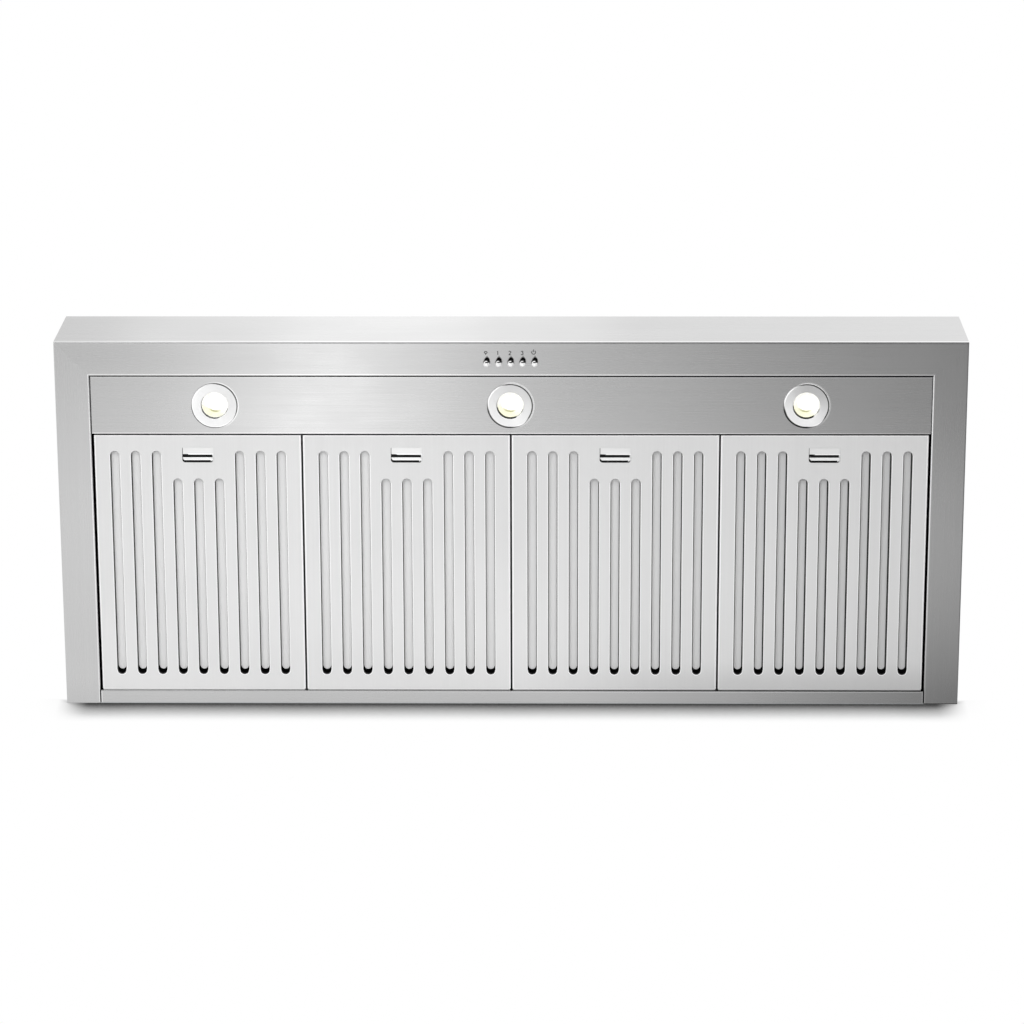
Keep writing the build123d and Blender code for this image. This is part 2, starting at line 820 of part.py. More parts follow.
    strap_inner = slider_half + guide_gap
    guide_level = slider_level + latch_plate + guide_gap
    guide_y = (window_front + window_rear) / 2
    with BuildPart() as latch_guide:
        with BuildSketch(Plane(origin=(filter_x, guide_y, 0),
                               x_dir=(1, 0, 0), z_dir=(0, -1, 0))):
            with BuildLine() as guide_line:
                Polyline(
                    (-strap_inner - filter_sheet - guide_foot, inside_level),
                    (-strap_inner, inside_level), (-strap_inner, guide_level),
                    (strap_inner, guide_level), (strap_inner, inside_level),
                    (strap_inner + filter_sheet + guide_foot, inside_level),
                    (strap_inner + filter_sheet + guide_foot, inside_level + filter_sheet),
                    (strap_inner + filter_sheet, inside_level + filter_sheet),
                    (strap_inner + filter_sheet, guide_level + filter_sheet),
                    (-strap_inner - filter_sheet, guide_level + filter_sheet),
                    (-strap_inner - filter_sheet, inside_level + filter_sheet),
                    (-strap_inner - filter_sheet - guide_foot, inside_level + filter_sheet),
                    close=True,
                )
            make_face()
        extrude(amount=guide_width / 2, both=True)
    latch_guide.part.label = f"filter_{number}_latch_guide"
    export_step(latch_guide.part, f"parts/filter_{number}_latch_guide.step")

# Blower housing: a scroll about the wheel, rising into an outlet under the top plate
blower_y = -blower_setback
blower_level = hood_height - blower_drop
scroll_plane = Plane(origin=(0, blower_y, blower_level), x_dir=(0, 1, 0), z_dir=(1, 0, 0))
outlet_rise = top_plate_base - outlet_plate - blower_level
outlet_y = blower_y + scroll_reach / 2


def scroll_profile(inset):
    throat = scroll_throat - inset
    reach = scroll_reach - inset
    points = []
    for turn in range(scroll_start, scroll_end + 1, scroll_step):
        radius = throat + (reach - throat) * (turn - scroll_start) / (scroll_end - scroll_start)
        points.append((radius * cos(radians(turn)), radius * sin(radians(turn))))
    with BuildSketch(scroll_plane) as profile:
        with BuildLine():
            Spline(*points, tangents=[(-1, 0), (0, 1)])
            Polyline(
                points[-1], (reach, outlet_rise + inset), (inset, outlet_rise + inset),
                (inset, throat), points[0],
            )
        make_face()
    return profile.sketch


with BuildPart() as blower_housing:
    extrude(scroll_profile(0), amount=housing_width / 2, both=True)
    with BuildSketch(Plane.XY.offset(top_plate_base - outlet_plate)):
        with Locations((0, collar_y)):
            Rectangle(outlet_plate_width, outlet_plate_depth)
    extrude(amount=outlet_plate)
    extrude(
        scroll_profile(housing_sheet), amount=housing_width / 2 - housing_sheet, both=True,
        mode=Mode.SUBTRACT,
    )
    with BuildSketch(Plane.XY.offset(top_plate_base - outlet_plate - housing_sheet)):
        with Locations((0, outlet_y)):
            Rectangle(housing_width - 2 * housing_sheet, scroll_reach - 2 * housing_sheet)
    extrude(amount=outlet_plate + housing_sheet, mode=Mode.SUBTRACT)
    with BuildSketch(scroll_plane):
        Circle(eye_radius)
        with Locations(*[
            (bracket_reach * cos(radians(angle)), bracket_reach * sin(radians(angle)))
            for angle in bracket_angles
        ]):
            Circle(screw_radius + screw_clearance)
    extrude(amount=housing_width / 2, mode=Mode.SUBTRACT)
    with BuildSketch(scroll_plane):
        Circle(eye_radius)
    extrude(amount=-housing_width / 2, mode=Mode.SUBTRACT)
    with BuildSketch(Plane.XY.offset(top_plate_base - outlet_plate)):
        with Locations((0, collar_y)):
            with GridLocations(bolt_spacing_x, bolt_spacing_y, 2, 2):
                Circle(bolt_radius + bolt_clearance)
    extrude(amount=outlet_plate, mode=Mode.SUBTRACT)
blower_housing.part.label = "blower_housing"
export_step(blower_housing.part, "parts/blower_housing.step")

# Inlet rings: a bell mouth in each side of the scroll
wheel_axis = Axis((0, blower_y, blower_level), (1, 0, 0))
bell_foot = housing_width / 2 + bell_sheet - bell_radius
for side, side_name in ((-1, "left"), (1, "right")):
    with BuildPart() as inlet_ring:
        with BuildSketch(Plane(origin=(0, blower_y, blower_level),
                               x_dir=(side, 0, 0), z_dir=(0, -side, 0))):
            with BuildLine():
                Polyline(
                    (housing_width / 2 + bell_sheet, eye_radius),
                    (housing_width / 2 + bell_sheet, eye_radius + bell_flange),
                    (housing_width / 2, eye_radius + bell_flange),
                    (housing_width / 2, eye_radius),
                )
                RadiusArc(
                    (housing_width / 2, eye_radius),
                    (bell_foot, eye_radius - bell_radius + bell_sheet),
                    bell_radius - bell_sheet,
                )
                Line(
                    (bell_foot, eye_radius - bell_radius + bell_sheet),
                    (bell_foot, eye_radius - bell_radius),
                )
                RadiusArc(
                    (bell_foot, eye_radius - bell_radius),
                    (housing_width / 2 + bell_sheet, eye_radius), -bell_radius,
                )
            make_face()
        revolve(axis=wheel_axis)
    inlet_ring.part.label = f"inlet_ring_{side_name}"
    export_step(inlet_ring.part, f"parts/inlet_ring_{side_name}.step")

# Blower wheel: forward-curved blades between two end rings and a centre disc on the hub
blade_foot = wheel_radius - blade_sheet - blade_depth
blade_tip = wheel_radius - blade_sheet
blade_line = ThreePointArc(
    (blade_foot, 0),
    (blade_foot + blade_depth * blade_middle, blade_depth * blade_bow),
    (blade_tip * cos(radians(blade_sweep)), blade_tip * sin(radians(blade_sweep))),
)
with BuildPart() as impeller:
    with BuildSketch(scroll_plane):
        with PolarLocations(0, blade_count):
            SlotArc(blade_line, blade_sheet)
    extrude(amount=wheel_width / 2, both=True)
    with BuildSketch(scroll_plane):
        Circle(wheel_radius - wheel_ring / 2)
    extrude(amount=wheel_disc / 2, both=True)
    for end in (-1, 1):
        with BuildSketch(scroll_plane.offset(end * (wheel_width - wheel_ring_width) / 2)):
            Circle(wheel_radius)
            Circle(wheel_radius - wheel_ring, mode=Mode.SUBTRACT)
        extrude(amount=wheel_ring_width / 2, both=True)
    with BuildSketch(scroll_plane):
        Circle(hub_radius)
    extrude(amount=hub_length / 2, both=True)
    with BuildSketch(scroll_plane):
        Circle(shaft_radius)
    extrude(amount=hub_length / 2, both=True, mode=Mode.SUBTRACT)
impeller.part.label = "impeller"
export_step(impeller.part, "parts/impeller.step")

# Motor, its shaft, and the three-armed bracket that carries it beside the right inlet
bracket_face = housing_width / 2 + bracket_stand
motor_face = bracket_face + bracket_plate
bracket_points = [
    (bracket_reach * cos(radians(angle)), bracket_reach * sin(radians(angle)))
    for angle in bracket_angles
]
with BuildPart() as motor_shaft:
    with BuildSketch(scroll_plane.offset(-shaft_tail)):
        Circle(shaft_radius)
    extrude(amount=shaft_tail + motor_face + shaft_seat - shaft_end_gap)
    chamfer(motor_shaft.edges().sort_by(Axis.X)[0], shaft_chamfer)
motor_shaft.part.label = "motor_shaft"
export_step(motor_shaft.part, "parts/motor_shaft.step")

with BuildPart() as motor:
    with BuildSketch(scroll_plane.offset(motor_face)):
        Circle(motor_radius)
    extrude(amount=motor_length)
    fillet(motor.edges().filter_by(GeomType.CIRCLE), motor_edge)
    with BuildSketch(scroll_plane.offset(motor_face)):
        Circle(shaft_radius + shaft_clearance)
    extrude(amount=shaft_seat, mode=Mode.SUBTRACT)
    with BuildSketch(scroll_plane.offset(motor_face + motor_length)):
        with PolarLocations(motor_radius / 2, motor_vents):
            SlotOverall(motor_radius / 2, motor_vent_width)
    extrude(amount=-motor_vent_depth, mode=Mode.SUBTRACT)
motor.part.label = "motor"
export_step(motor.part, "parts/motor.step")

with BuildPart() as motor_bracket:
    with BuildSketch(scroll_plane.offset(bracket_face)):
        Circle(bracket_hub)
        for angle in bracket_angles:
            Rectangle(
                bracket_reach, bracket_arm, rotation=angle, align=(Align.MIN, Align.CENTER)
            )
        with Locations(*bracket_points):
            Circle(bracket_arm / 2)
        Circle(bracket_hole, mode=Mode.SUBTRACT)
    extrude(amount=bracket_plate)
    with BuildSketch(scroll_plane.offset(bracket_face)):
        with Locations(*bracket_points):
            Circle(bracket_post)
    extrude(amount=-bracket_stand)
    with BuildSketch(scroll_plane.offset(motor_face)):
        with Locations(*bracket_points):
            Circle(screw_radius + screw_clearance)
    extrude(amount=-bracket_stand - bracket_plate, mode=Mode.SUBTRACT)
motor_bracket.part.label = "motor_bracket"
export_step(motor_bracket.part, "parts/motor_bracket.step")

# Bolts of the blower: four through the top plate, three through the motor bracket
with BuildPart() as blower_bolts:
    with BuildSketch(Plane.XY.offset(hood_height)):
        with Locations((0, collar_y)):
            with GridLocations(bolt_spacing_x, bolt_spacing_y, 2, 2):
                RegularPolygon(bolt_head_radius, 6)
    extrude(amount=bolt_head_height)
    with BuildSketch(Plane.XY.offset(hood_height)):
        with Locations((0, collar_y)):
            with GridLocations(bolt_spacing_x, bolt_spacing_y, 2, 2):
                Circle(bolt_radius)
    extrude(amount=-(skin + outlet_plate + bolt_nut_height))
    with BuildSketch(Plane.XY.offset(top_plate_base - outlet_plate)):
        with Locations((0, collar_y)):
            with GridLocations(bolt_spacing_x, bolt_spacing_y, 2, 2):
                RegularPolygon(bolt_head_radius, 6)
    extrude(amount=-bolt_nut_height)
    with BuildSketch(scroll_plane.offset(motor_face)):
        with Locations(*bracket_points):
            Circle(screw_head_radius)
    extrude(amount=screw_head_height)
    with BuildSketch(scroll_plane.offset(motor_face)):
        with Locations(*bracket_points):
            Circle(screw_radius)
    extrude(amount=-(bracket_plate + bracket_stand + bolt_reach))
blower_bolts.part.label = "blower_bolts"
export_step(blower_bolts.part, "parts/blower_bolts.step")

# Duct collar with its flange on the top plate and the ledge that stops the flaps
axle_level = hood_height + damper_level
flap_radius = duct_radius - duct_sheet - flap_gap
ledge_top = axle_level - flap_sheet / 2 - stop_gap
with BuildPart() as duct_collar:
    with BuildSketch(Plane.XY.offset(hood_height)):
        with Locations((0, collar_y)):
            Circle(duct_radius)
            Circle(duct_radius - duct_sheet, mode=Mode.SUBTRACT)
    extrude(amount=duct_height)
    with BuildSketch(Plane.XY.offset(hood_height)):
        with Locations((0, collar_y)):
            Circle(duct_radius + duct_flange)
            Circle(duct_radius - duct_sheet, mode=Mode.SUBTRACT)
            with PolarLocations(duct_radius + duct_flange / 2, collar_rivets):
                Circle(rivet_radius + rivet_clearance, mode=Mode.SUBTRACT)
    extrude(amount=duct_sheet)
    with BuildSketch(Plane.XY.offset(ledge_top)):
        with Locations((0, collar_y)):
            Circle(duct_radius - duct_sheet / 2)
            Circle(duct_radius - duct_sheet - ledge_width, mode=Mode.SUBTRACT)
            Rectangle(
                2 * duct_radius, axle_spacing + 2 * (knuckle_radius + ledge_clearance),
                mode=Mode.SUBTRACT
            )
    extrude(amount=-duct_sheet)
    with BuildSketch(Plane(origin=(0, collar_y, axle_level),
                           x_dir=(0, 1, 0), z_dir=(1, 0, 0))):
        with GridLocations(axle_spacing, 1, 2, 1):
            Circle(axle_radius + knuckle_clearance)
    extrude(amount=duct_radius, both=True, mode=Mode.SUBTRACT)
duct_collar.part.label = "duct_collar"
export_step(duct_collar.part, "parts/duct_collar.step")

# Damper axles: two rods across the collar, their ends flush in its wall
with BuildPart() as damper_axles:
    with BuildSketch(Plane(origin=(0, collar_y, axle_level),
                           x_dir=(0, 1, 0), z_dir=(1, 0, 0))):
        with GridLocations(axle_spacing, 1, 2, 1):
            Circle(axle_radius)
    extrude(amount=duct_radius - duct_sheet / 2, both=True)
damper_axles.part.label = "damper_axles"
export_step(damper_axles.part, "parts/damper_axles.step")

# Damper flaps: two half discs with rolled knuckles on the axles
for side, side_name in ((-1, "front"), (1, "rear")):
    axle_y = collar_y + side * axle_spacing / 2
    axle_plane = Plane(origin=(0, axle_y, axle_level), x_dir=(0, 1, 0), z_dir=(1, 0, 0))
    with BuildPart() as damper_flap:
        with BuildSketch(Plane.XY.offset(axle_level - flap_sheet / 2)):
            with Locations((0, collar_y)):
                Circle(flap_radius)
            with Locations((0, axle_y)):
                Rectangle(
                    2 * duct_radius, 2 * duct_radius,
                    align=(Align.CENTER, Align.MAX if side > 0 else Align.MIN),
                    mode=Mode.SUBTRACT,
                )
        extrude(amount=flap_sheet)
        for index in range(knuckle_count):
            knuckle_x = (index - (knuckle_count - 1) / 2) * knuckle_pitch
            with BuildSketch(axle_plane.offset(knuckle_x)):
                Circle(knuckle_radius)
            extrude(amount=knuckle_length / 2, both=True)
        with BuildSketch(axle_plane):
            Circle(axle_radius + knuckle_clearance)
        extrude(amount=duct_radius, both=True, mode=Mode.SUBTRACT)
    damper_flap.part.label = f"damper_flap_{side_name}"
    export_step(damper_flap.part, f"parts/damper_flap_{side_name}.step")

# Junction box under the top plate, its cover, and the cable gland above it
box_top = top_plate_base
box_base = box_top - box_height
with BuildPart() as junction_box:
    with BuildSketch(Plane.XY.offset(box_base)):
        with Locations((box_x, box_y)):
            Rectangle(box_width, box_depth)
    extrude(amount=box_height)
    with BuildSketch(Plane.XY.offset(box_base)):
        with Locations((box_x, box_y)):
            Rectangle(box_width - 2 * box_wall, box_depth - 2 * box_wall)
    extrude(amount=box_height - box_wall, mode=Mode.SUBTRACT)
    with BuildSketch(Plane.XY.offset(box_top)):
        with Locations((box_x, box_y)):
            Circle(gland_radius + gland_clearance)
    extrude(amount=-box_wall, mode=Mode.SUBTRACT)
junction_box.part.label = "junction_box"
export_step(junction_box.part, "parts/junction_box.step")

cover_base = box_base - box_wall
with BuildPart() as junction_box_cover:
    with BuildSketch(Plane.XY.offset(cover_base)):
        with Locations((box_x, box_y)):
            Rectangle(box_width + 2 * (box_wall + seam), box_depth + 2 * (box_wall + seam))
    extrude(amount=box_wall + cover_lip)
    with BuildSketch(Plane.XY.offset(box_base)):
        with Locations((box_x, box_y)):
            Rectangle(box_width + 2 * seam, box_depth + 2 * seam)
    extrude(amount=cover_lip, mode=Mode.SUBTRACT)
    with BuildSketch(Plane.XY.offset(cover_base)):
        with Locations((box_x, box_y)):
            Circle(lead_radius + seam)
    extrude(amount=box_wall, mode=Mode.SUBTRACT)
junction_box_cover.part.label = "junction_box_cover"
export_step(junction_box_cover.part, "parts/junction_box_cover.step")

with BuildPart() as cable_gland:
    with BuildSketch(Plane.XY.offset(hood_height)):
        with Locations((box_x, box_y)):
            RegularPolygon(gland_nut, 6)
    extrude(amount=gland_rise)
    with BuildSketch(Plane.XY.offset(hood_height)):
        with Locations((box_x, box_y)):
            Circle(gland_radius)
    extrude(amount=-gland_drop)
    with BuildSketch(Plane.XY.offset(hood_height + gland_rise)):
        with Locations((box_x, box_y)):
            Circle(gland_bore)
    extrude(amount=-gland_rise - gland_drop, mode=Mode.SUBTRACT)
cable_gland.part.label = "cable_gland"
export_step(cable_gland.part, "parts/cable_gland.step")

# Lamp driver on the light panel
panel_floor = panel_recess + skin
driver_x = light_places[0] + driver_offset
with BuildPart() as led_driver:
    with BuildSketch(Plane.XY.offset(panel_floor)):
        with Locations((driver_x, light_y)):
            RectangleRounded(driver_width, driver_depth, case_radius)
    extrude(amount=driver_height)
    fillet(led_driver.faces().sort_by(Axis.Z)[-1].edges(), case_edge)
led_driver.part.label = "led_driver"
export_step(led_driver.part, "parts/led_driver.step")

# Leads on the panel floor: driver to the first and second light, second light to the third
lead_level = panel_recess + spigot_length + lead_radius + seam
lead_plane = Plane(origin=(0, light_y, lead_level), x_dir=(0, 1, 0), z_dir=(1, 0, 0))
lead_spans = (
    (light_places[0] + can_radius, driver_x - driver_width / 2),
    (driver_x + driver_width / 2, light_places[1] - can_radius),
    (light_places[1] + can_radius, light_places[2] - can_radius),
)
with BuildPart() as light_leads:
    for span_start, span_end in lead_spans:
        with BuildSketch(lead_plane.offset(span_start)):
            Circle(lead_radius)
        extrude(amount=span_end - span_start)
light_leads.part.label = "light_leads"
export_step(light_leads.part, "parts/light_leads.step")

# Motor lead, from the motor up into the junction box
with BuildPart() as motor_lead:
    with BuildLine() as motor_route:
        FilletPolyline(
            (box_x, blower_y, blower_level + motor_radius),
            (box_x, blower_y, blower_level + motor_radius + lead_rise),
            (box_x, box_y, cover_base - lead_rise),
            (box_x, box_y, box_base + lead_tail),
            radius=lead_bend,
        )
    with BuildSketch(Plane(origin=motor_route.line @ 0, z_dir=motor_route.line % 0)):
        Circle(lead_radius)
    sweep()
motor_lead.part.label = "motor_lead"
export_step(motor_lead.part, "parts/motor_lead.step")

# Switch lead, from the block along the front channel and up inside the front slope
lead_end_level = box_base + box_height / 2
slope_y = -depth_at(lead_end_level) + front_level_thickness + lead_stand
lead_x = box_x - lead_offset
with BuildPart() as switch_lead:
    with BuildLine() as switch_route:
        FilletPolyline(
            (switch_width / 2, button_y, skin + switch_height / 2),
            (lead_x - lead_offset, button_y, skin + switch_height / 2),
            (lead_x, -hood_depth + skin + lead_stand, lip_height / 2),
            (lead_x, -hood_depth + skin + lead_stand, lip_height - 2 * lead_stand),
            (lead_x, slope_y, lead_end_level),
            (lead_x, box_y - box_depth / 2, lead_end_level),
            radius=switch_lead_bend,
        )
    with BuildSketch(Plane(origin=switch_route.line @ 0, z_dir=switch_route.line % 0)):
        Circle(switch_lead_radius)
    sweep()
switch_lead.part.label = "switch_lead"
export_step(switch_lead.part, "parts/switch_lead.step")

# Blind rivets: the collar flange to the top plate, and the rear rail to the back panel
with BuildPart() as panel_rivets:
    with BuildSketch(Plane.XY.offset(hood_height + duct_sheet)):
        with Locations((0, collar_y)):
            with PolarLocations(duct_radius + duct_flange / 2, collar_rivets):
                Circle(rivet_head_radius)
    extrude(amount=rivet_head_height)
    with BuildSketch(Plane.XY.offset(hood_height + duct_sheet)):
        with Locations((0, collar_y)):
            with PolarLocations(duct_radius + duct_flange / 2, collar_rivets):
                Circle(rivet_radius)
    extrude(amount=-duct_sheet - skin)
    with BuildSketch(rail_rivet_plane):
        with GridLocations(rail_rivet_pitch, 1, rail_rivets, 1):
            Circle(rivet_head_radius)
    extrude(amount=rivet_head_height)
    with BuildSketch(rail_rivet_plane):
        with GridLocations(rail_rivet_pitch, 1, rail_rivets, 1):
            Circle(rivet_radius)
    extrude(amount=-2 * skin)
panel_rivets.part.label = "panel_rivets"
export_step(panel_rivets.part, "parts/panel_rivets.step")
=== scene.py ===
import json
import math

import bmesh
import bpy
from mathutils import Matrix, Vector


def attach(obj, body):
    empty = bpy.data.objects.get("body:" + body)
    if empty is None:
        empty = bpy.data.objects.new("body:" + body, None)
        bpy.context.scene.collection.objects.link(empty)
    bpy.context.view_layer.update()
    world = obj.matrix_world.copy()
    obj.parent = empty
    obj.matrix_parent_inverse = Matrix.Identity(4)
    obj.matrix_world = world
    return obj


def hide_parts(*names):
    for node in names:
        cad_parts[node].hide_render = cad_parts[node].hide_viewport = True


# Looks of the pyramid range hood. Metres, in the frame of the part: the wall is y = 0, the front
# is -Y and the underside is z = 0. The hood lies on its back, so the floor is the plane y = 0.
# Millimetres: what hood_place, filter_place and lamp_place give, the corners of the tones, and
# the sizes of turned pieces and icons.

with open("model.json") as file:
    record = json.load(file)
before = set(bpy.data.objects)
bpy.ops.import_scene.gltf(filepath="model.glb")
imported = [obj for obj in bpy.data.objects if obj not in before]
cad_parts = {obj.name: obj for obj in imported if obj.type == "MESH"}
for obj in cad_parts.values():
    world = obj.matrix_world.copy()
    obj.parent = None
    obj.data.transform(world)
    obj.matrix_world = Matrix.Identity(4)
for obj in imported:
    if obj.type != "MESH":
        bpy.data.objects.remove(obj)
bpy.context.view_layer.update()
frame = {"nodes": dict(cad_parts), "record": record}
nodes = frame["nodes"]

MM = 0.001
PER_METRE = 1000

# Camera, fitted to the outline of the hood in the photograph
camera_data = bpy.data.cameras.new("camera")
camera_data.sensor_width = 36
camera_data.lens = 134.762
camera_data.clip_start = 0.1
camera_data.clip_end = 60
camera = bpy.data.objects.new("camera", camera_data)
bpy.context.scene.collection.objects.link(camera)
camera_right = Vector((0.999921, 0.002799, 0.01229)).normalized()
camera_back = Vector((0.012571, -0.292928, -0.956052)).normalized()
camera_place = (0.06628, -1.78807, -4.94103)
camera_up = camera_back.cross(camera_right).normalized()
camera.matrix_world = Matrix.Translation(camera_place) @ Matrix(
    (camera_right, camera_up, camera_back)
).transposed().to_4x4()
bpy.context.scene.camera = camera


class Tree:
    """Short calls for building a shader tree."""

    def __init__(self, tree):
        self.tree = tree

    def node(self, kind, **values):
        made = self.tree.nodes.new(kind)
        for key, value in values.items():
            setattr(made, key, value)
        return made

    def link(self, source, target):
        self.tree.links.new(source, target)

    def put(self, socket, value):
        if isinstance(value, bpy.types.NodeSocket):
            self.link(value, socket)
        else:
            socket.default_value = value

    def math(self, operation, *values):
        made = self.node("ShaderNodeMath", operation=operation)
        for socket, value in zip(made.inputs, values):
            self.put(socket, value)
        return made.outputs[0]

    def product(self, first, *others):
        for value in others:
            first = self.math("MULTIPLY", first, value)
        return first

    def distance(self, a, b):
        """Length of the diagonal over a and b."""
        return self.math("SQRT", self.math("ADD", self.product(a, a), self.product(b, b)))

    def vector(self, operation, a, b):
        made = self.node("ShaderNodeVectorMath", operation=operation)
        self.put(made.inputs[0], a)
        self.put(made.inputs[1], b)
        return made.outputs["Value" if operation == "DOT_PRODUCT" else "Vector"]

    def split(self, vector):
        made = self.node("ShaderNodeSeparateXYZ")
        self.link(vector, made.inputs[0])
        return made.outputs

    def spread(self, value, low, high, out_low=0, out_high=1):
        """Share of the way from low to high, kept between out_low and out_high."""
        made = self.node("ShaderNodeMapRange", clamp=True)
        for socket, number in zip(made.inputs[:5], (value, low, high, out_low, out_high)):
            self.put(socket, number)
        return made.outputs[0]

    def noise(self, coords, scale, detail=2.0, roughness=0.5):
        """Noise with scale waves to a metre along each axis."""
        moved = self.node("ShaderNodeMapping")
        self.put(moved.inputs["Vector"], coords)
        moved.inputs["Scale"].default_value = scale
        made = self.node("ShaderNodeTexNoise")
        self.put(made.inputs["Vector"], moved.outputs[0])
        made.inputs["Scale"].default_value = 1
        made.inputs["Detail"].default_value = detail
        made.inputs["Roughness"].default_value = roughness
        return made.outputs["Fac"]

    def box(self, place, low, high):
        """1 where place, in millimetres, lies between the corners low and high."""
        inside = None
        for value, floor, ceiling in zip(place, low, high):
            for limit, operation in ((floor, "GREATER_THAN"), (ceiling, "LESS_THAN")):
                if limit is None:
                    continue
                test = self.math(operation, value, limit)
                inside = test if inside is None else self.product(inside, test)
        return inside

    def mix(self, factor, a, b):
        made = self.node("ShaderNodeMix", data_type="RGBA")
        self.put(made.inputs[0], factor)
        self.put(made.inputs[6], a)
        self.put(made.inputs[7], b)
        return made.outputs[2]

    def ramp(self, value, stops):
        made = self.node("ShaderNodeValToRGB")
        self.put(made.inputs[0], value)
        points = made.color_ramp.elements
        while len(points) < len(stops):
            points.new(0.5)
        for point, (place, level) in zip(points, stops):
            point.position = place
            point.color = grey(level)
        return made.outputs[0]


def new_material(name):
    """Material, its tree and its shader, and the place on the piece, in metres."""
    material = bpy.data.materials.new(name)
    material.use_nodes = True
    tree = Tree(material.node_tree)
    shader = material.node_tree.nodes["Principled BSDF"]
    coords = tree.node("ShaderNodeTexCoord").outputs["Object"]
    return material, tree, shader, coords


def grey(level):
    return (level, level, level, 1)


SHADE_SPAN = (-0.45, 0.35)  # where a pair of levels starts and ends, across the hood
GRAIN = {"X": (1, 0, 0), "Y": (0, 1, 0), "Z": (0, 0, 1)}


def shade_colour(tree, coords, shade):
    """Grey of one level, or a pair of levels that goes from the left to the right of the hood."""
    if not isinstance(shade, tuple):
        return grey(shade)
    across = tree.spread(tree.split(coords)["X"], *SHADE_SPAN)
    return tree.mix(across, grey(shade[0]), grey(shade[1]))


def hood_place(tree, coords):
    """Place in the hood in millimetres, with both halves folded onto one side."""
    x, y, z = tree.split(coords)
    return [tree.product(value, PER_METRE) for value in (tree.math("ABSOLUTE", x), y, z)]


FILTER_PITCH = 280.55


def filter_place(tree, coords):
    """Place in a filter in millimetres, with X measured from the middle of that filter."""
    x, y, z = tree.split(coords)
    share = tree.math("FRACT", tree.math("DIVIDE", x, FILTER_PITCH * MM))
    return [
        tree.product(tree.math("SUBTRACT", share, 0.5), FILTER_PITCH),
        tree.product(y, PER_METRE),
        tree.product(z, PER_METRE),
    ]


BUTTON_PITCH = 16
MIRRORED_SHIFT = 0.46  # 0.5 would be in line with each button
BUTTON_ROW_END = 0.04
FLANGE_TOP = 0.002


def painted_button_reflection(tree, coords):
    """Painted reflection in the brushed flange of the black shank of each button, tapering to the
    front.
    """
    x, y, z = tree.split(coords)
    turn = tree.math("MULTIPLY_ADD", x, 1 / (BUTTON_PITCH * MM), MIRRORED_SHIFT)
    share = tree.math("FRACT", turn)
    off = tree.math("ABSOLUTE", tree.product(tree.math("SUBTRACT", share, 0.5), BUTTON_PITCH))
    width = tree.spread(y, -0.4918, -0.4870, 0.3, 3.5)
    side = tree.spread(tree.math("SUBTRACT", off, width), -0.5, 0.5, 1, 0)
    length = tree.spread(y, -0.4932, -0.4886)
    row = tree.math("LESS_THAN", tree.math("ABSOLUTE", x), BUTTON_ROW_END)
    ahead = tree.spread(y, -0.4848, -0.4830, 1, 0)
    flange = tree.math("LESS_THAN", z, FLANGE_TOP)
    return tree.product(side, length, tree.product(row, ahead, flange))


SLOT_PITCH = 28
SLOT_HALF = 6
SLOT_FRONT = -352.6
SLOT_REAR = -47.9
SHORT_SETBACK = 38.6
REAR_SHADE = 0.55
SIDE_SHADE = 0.5
SLOTS_HALF_SPAN = 120
SLOT_DEPTH = 3.6
WEB_HALF = 5.5
WEB_END = -45.2
LAND_TOP = 0.0031


def slot_side(tree, u):
    """Distance from the middle line of the nearest slot, with its sign, in millimetres."""
    share = tree.math("FRACT", tree.math("MULTIPLY_ADD", u, 1 / SLOT_PITCH, 0.5))
    return tree.product(tree.math("SUBTRACT", share, 0.5), SLOT_PITCH)


def slot_band(tree, coords, low, high):
    """Band round each slot, from low to high millimetres outside it, except at its front end."""
    u, y, z = filter_place(tree, coords)
    side = slot_side(tree, u)
    short = tree.math("LESS_THAN", tree.math("ABSOLUTE", u), 1.5 * SLOT_PITCH)
    front = tree.math("MULTIPLY_ADD", short, SHORT_SETBACK, SLOT_FRONT)
    past = tree.math("MAXIMUM", tree.math("SUBTRACT", y, SLOT_REAR), 0.0)
    away = tree.distance(side, past)
    turned = tree.math("DIVIDE", past, away)
    shade = tree.math("MULTIPLY_ADD", turned, REAR_SHADE + SIDE_SHADE, -SIDE_SHADE)
    shade = tree.product(tree.math("GREATER_THAN", past, 0.0), shade)
    outside = tree.math("SUBTRACT", away, tree.math("ADD", shade, SLOT_HALF))
    spot = (outside, tree.math("ABSOLUTE", u), z)
    band = tree.box(spot, (low, None, None), (high, SLOTS_HALF_SPAN, SLOT_DEPTH))
    return tree.product(band, tree.math("GREATER_THAN", y, front))


SLOT_EDGE = (-0.7, 0.35)
SLOT_RIM = (0.35, 1.4)


def slot_edge_shade(tree, coords):
    """Painted shade: dark line round each slot."""
    return slot_band(tree, coords, *SLOT_EDGE)


def slot_rim_highlight(tree, coords):
    """Painted highlight: light line outside the dark one."""
    return slot_band(tree, coords, *SLOT_RIM)


def web_away(tree, coords):
    """Distance from the middle line of the web behind a slot, rounded off at its rear end."""
    u, y, _ = filter_place(tree, coords)
    side = slot_side(tree, u)
    past = tree.math("MAXIMUM", tree.math("SUBTRACT", y, WEB_END - WEB_HALF), 0.0)
    return tree.distance(side, past), past


def web_sides(tree, coords):
    """Strips of the web that lie in the shadow of the sides of its slot, wider on the right."""
    away, _ = web_away(tree, coords)
    reach = tree.spread(tree.split(coords)["X"], 0.0, 0.42, 5.4, 4.45)
    return tree.spread(tree.math("SUBTRACT", away, reach), 0, 0.3)


def web_end_shade(tree, coords):
    """Painted shade: round corners of the dark opening behind the rear end of the web, painted near
    black on the web.
    """
    away, past = web_away(tree, coords)
    corner = tree.math("GREATER_THAN", away, WEB_HALF - 0.5)
    return tree.product(tree.math("GREATER_THAN", past, 0.5), corner)


